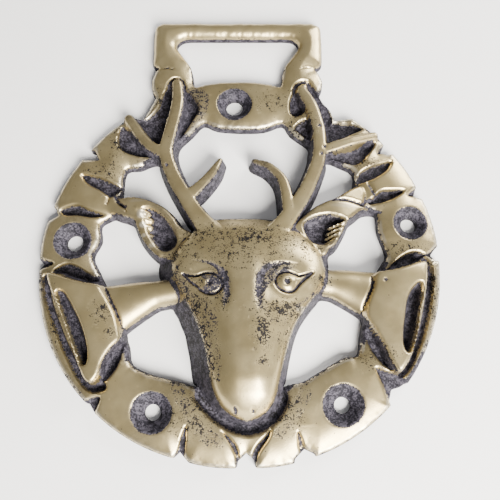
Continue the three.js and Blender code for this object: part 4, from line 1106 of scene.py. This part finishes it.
def agedBrass(grain):
    looks = brassLooks
    material, tree, shader = newMaterial("agedBrass")
    place = addNode(tree, "TexCoord").outputs["Object"]
    dirt, proud, grime, haze = (
        addNode(tree, "Attribute", attribute_name=name, attribute_type="GEOMETRY").outputs["Fac"]
        for name in ("dirt", "proud", "grime", "haze"))
    noise = lambda scale, detail: addNode(
        tree, "TexNoise", {"Vector": place, "Scale": scale, "Detail": detail}).outputs["Fac"]
    sand = addNode(tree, "Group", {"Place": place, "Size": looks["grain"], "Sharpness": looks["sharpness"]},
                   node_tree=grain)
    specks = sand.outputs["Specks"]
    # dirt fills the hollows and breaks into specks at their edges
    # painted shade from the listed outlines darkens here too, together with the dirt
    offset = maths(tree, "MULTIPLY", maths(tree, "SUBTRACT", specks, 0.5), looks["ragged"])
    filled = between(tree, maths(tree, "ADD", dirt, offset), *looks["dirtEdge"])
    # black pits, thick where grime is marked and rare elsewhere
    cells = addNode(tree, "TexVoronoi", {"Vector": place, "Scale": 1 / looks["pitSize"], "Randomness": 1.0})
    which = addNode(tree, "SeparateColor", {"Color": cells.outputs["Color"]}).outputs["Red"]
    chance = maths(tree, "MULTIPLY_ADD", grime, looks["pitGrime"], looks["pitRare"])
    chosen = maths(tree, "LESS_THAN", which, chance)
    dot = maths(tree, "SUBTRACT", 1.0, between(tree, cells.outputs["Distance"], 0.3, 0.5))
    cloud = between(tree, noise(looks["cloudScale"], 3.0), 0.38, 0.58)
    pits = maths(tree, "MULTIPLY", maths(tree, "MULTIPLY", chosen, dot), cloud)
    stained = maths(tree, "ADD", maths(tree, "MULTIPLY", grime, looks["stain"]), specks)
    black = maths(tree, "MAXIMUM", pits, between(tree, stained, *looks["stainEdge"]), clamp=True)
    # colours: worn metal with slow changes of tone, bright rims that are partly rubbed bare and partly
    # painted highlight, a brown haze beside the dirt
    tone = between(tree, noise(looks["toneScale"], 5.0), 0.35, 0.65)
    worn = mixColours(tree, tone, looks["wornDeep"], looks["worn"])
    patchy = maths(tree, "MULTIPLY_ADD", specks, 0.7, 0.35)
    brown = maths(tree, "MULTIPLY", between(tree, haze, 0.1, 0.85), patchy)
    worn = mixColours(tree, brown, worn, looks["haze"])
    # painted highlight and rubbed rims: the pale colour where proud is high
    worn = mixColours(tree, between(tree, proud, 0.35, 1.4), worn, looks["bare"])
    dark = mixColours(tree, between(tree, specks, 0.0, 0.8), looks["dirtPale"], looks["dirt"])
    colour = mixColours(tree, filled, worn, dark)
    tree.links.new(mixColours(tree, black, colour, looks["pit"]), shader.inputs["Base Color"])
    # dirt and pits are dull, and hardly metal
    covered = maths(tree, "MAXIMUM", filled, black)
    less = looks["dirtMetallic"] - looks["metallic"]
    metallic = maths(tree, "MULTIPLY_ADD", covered, less, looks["metallic"])
    tree.links.new(metallic, shader.inputs["Metallic"])
    polish = maths(tree, "MULTIPLY_ADD", noise(looks["smudgeScale"], 5.0), looks["smudge"], looks["polish"])
    rougher = maths(tree, "MULTIPLY", covered, looks["dirtRoughness"] - looks["polish"])
    tree.links.new(maths(tree, "ADD", rougher, polish), shader.inputs["Roughness"])
    specular = maths(tree, "MULTIPLY_ADD", covered, looks["dirtSpecular"], looks["specular"])
    tree.links.new(specular, shader.inputs["Specular IOR Level"])
    # the grain shows most in the dirt
    depth = maths(tree, "MULTIPLY_ADD", filled, looks["dirtBump"], looks["wornBump"])
    level = maths(tree, "MULTIPLY", maths(tree, "SUBTRACT", sand.outputs["Height"], 0.5), depth)
    bump = addNode(tree, "Bump", {"Height": level, "Strength": looks["bump"],
                                  "Distance": looks["bumpHeight"]})
    tree.links.new(bump.outputs["Normal"], shader.inputs["Normal"])
    return material


backLooks = {
    "brown": (0.10, 0.075, 0.045, 1), "tan": (0.24, 0.19, 0.115, 1), "grain": 0.0007, "sharpness": 4.0,
    "metallic": 0.75, "roughness": 0.42, "speckRoughness": 0.2, "bump": 0.5, "bumpHeight": 0.0003,
}


def castBack(grain):
    looks = backLooks
    material, tree, shader = newMaterial("castBack")
    place = addNode(tree, "TexCoord").outputs["Object"]
    sand = addNode(tree, "Group", {"Place": place, "Size": looks["grain"], "Sharpness": looks["sharpness"]},
                   node_tree=grain)
    specks = sand.outputs["Specks"]
    tree.links.new(mixColours(tree, specks, looks["tan"], looks["brown"]), shader.inputs["Base Color"])
    shader.inputs["Metallic"].default_value = looks["metallic"]
    roughness = maths(tree, "MULTIPLY_ADD", specks, looks["speckRoughness"], looks["roughness"])
    tree.links.new(roughness, shader.inputs["Roughness"])
    bump = addNode(tree, "Bump", {"Height": sand.outputs["Height"], "Strength": looks["bump"],
                                  "Distance": looks["bumpHeight"]})
    tree.links.new(bump.outputs["Normal"], shader.inputs["Normal"])
    return material


# The studio: a pale floor, soft light and the camera

studio = {
    "floorColour": (0.86, 0.855, 0.845, 1), "floorSize": 1.6, "floorDrop": 0.00004, "floorRoughness": 0.85,
    "camera": (2.01, -35.39, 113.16), "tiltDegrees": 15,
    "focalPixels": 577, "picturePixels": 500, "sensor": 36, "clipStart": 0.005,
    "sky": (0.82, 0.82, 0.84, 1), "skyStrength": 0.42,
    # place in millimetres, size in millimetres, watts, colour
    "lights": [
        ((150, -270, 230), 220, 9.2, (1.0, 0.97, 0.92)),
        ((260, 220, 150), 200, 2.4, (1.0, 0.98, 0.95)),
    ],
}


def makeStudio():
    bpy.ops.mesh.primitive_plane_add(size=studio["floorSize"], location=(0, 0, -studio["floorDrop"]))
    floor = bpy.context.object
    floor.name = "studio_floor"
    material, _, shader = newMaterial("paleFloor")
    shader.inputs["Base Color"].default_value = studio["floorColour"]
    shader.inputs["Roughness"].default_value = studio["floorRoughness"]
    floor.data.materials.append(material)
    world = bpy.data.worlds.new("studioSky")
    world.use_nodes = True
    background = world.node_tree.nodes["Background"]
    background.inputs["Color"].default_value = studio["sky"]
    background.inputs["Strength"].default_value = studio["skyStrength"]
    bpy.context.scene.world = world
    for n, (place, size, watts, colour) in enumerate(studio["lights"]):
        light = bpy.data.lights.new(f"softLight{n + 1}", "AREA")
        light.shape, light.size, light.energy, light.color = "SQUARE", size * mm, watts, colour
        holder = bpy.data.objects.new(light.name, light)
        bpy.context.scene.collection.objects.link(holder)
        holder.location = np.array(place) * mm
        holder.rotation_euler = (-holder.location).to_track_quat("-Z", "Y").to_euler()
    lens = bpy.data.cameras.new("camera")
    lens.sensor_width = studio["sensor"]
    lens.lens = studio["focalPixels"] / studio["picturePixels"] * studio["sensor"]
    lens.clip_start = studio["clipStart"]
    camera = bpy.data.objects.new("camera", lens)
    bpy.context.scene.collection.objects.link(camera)
    camera.location = np.array(studio["camera"]) * mm
    camera.rotation_euler = (math.radians(studio["tiltDegrees"]), 0, 0)
    bpy.context.scene.camera = camera


print("studio")
makeStudio()
print("brass")
brass = makeBrass()
grain = castGrain()
brass.data.materials.append(agedBrass(grain))
brass.data.materials.append(castBack(grain))
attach(brass, "root")
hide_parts("horse_brass")
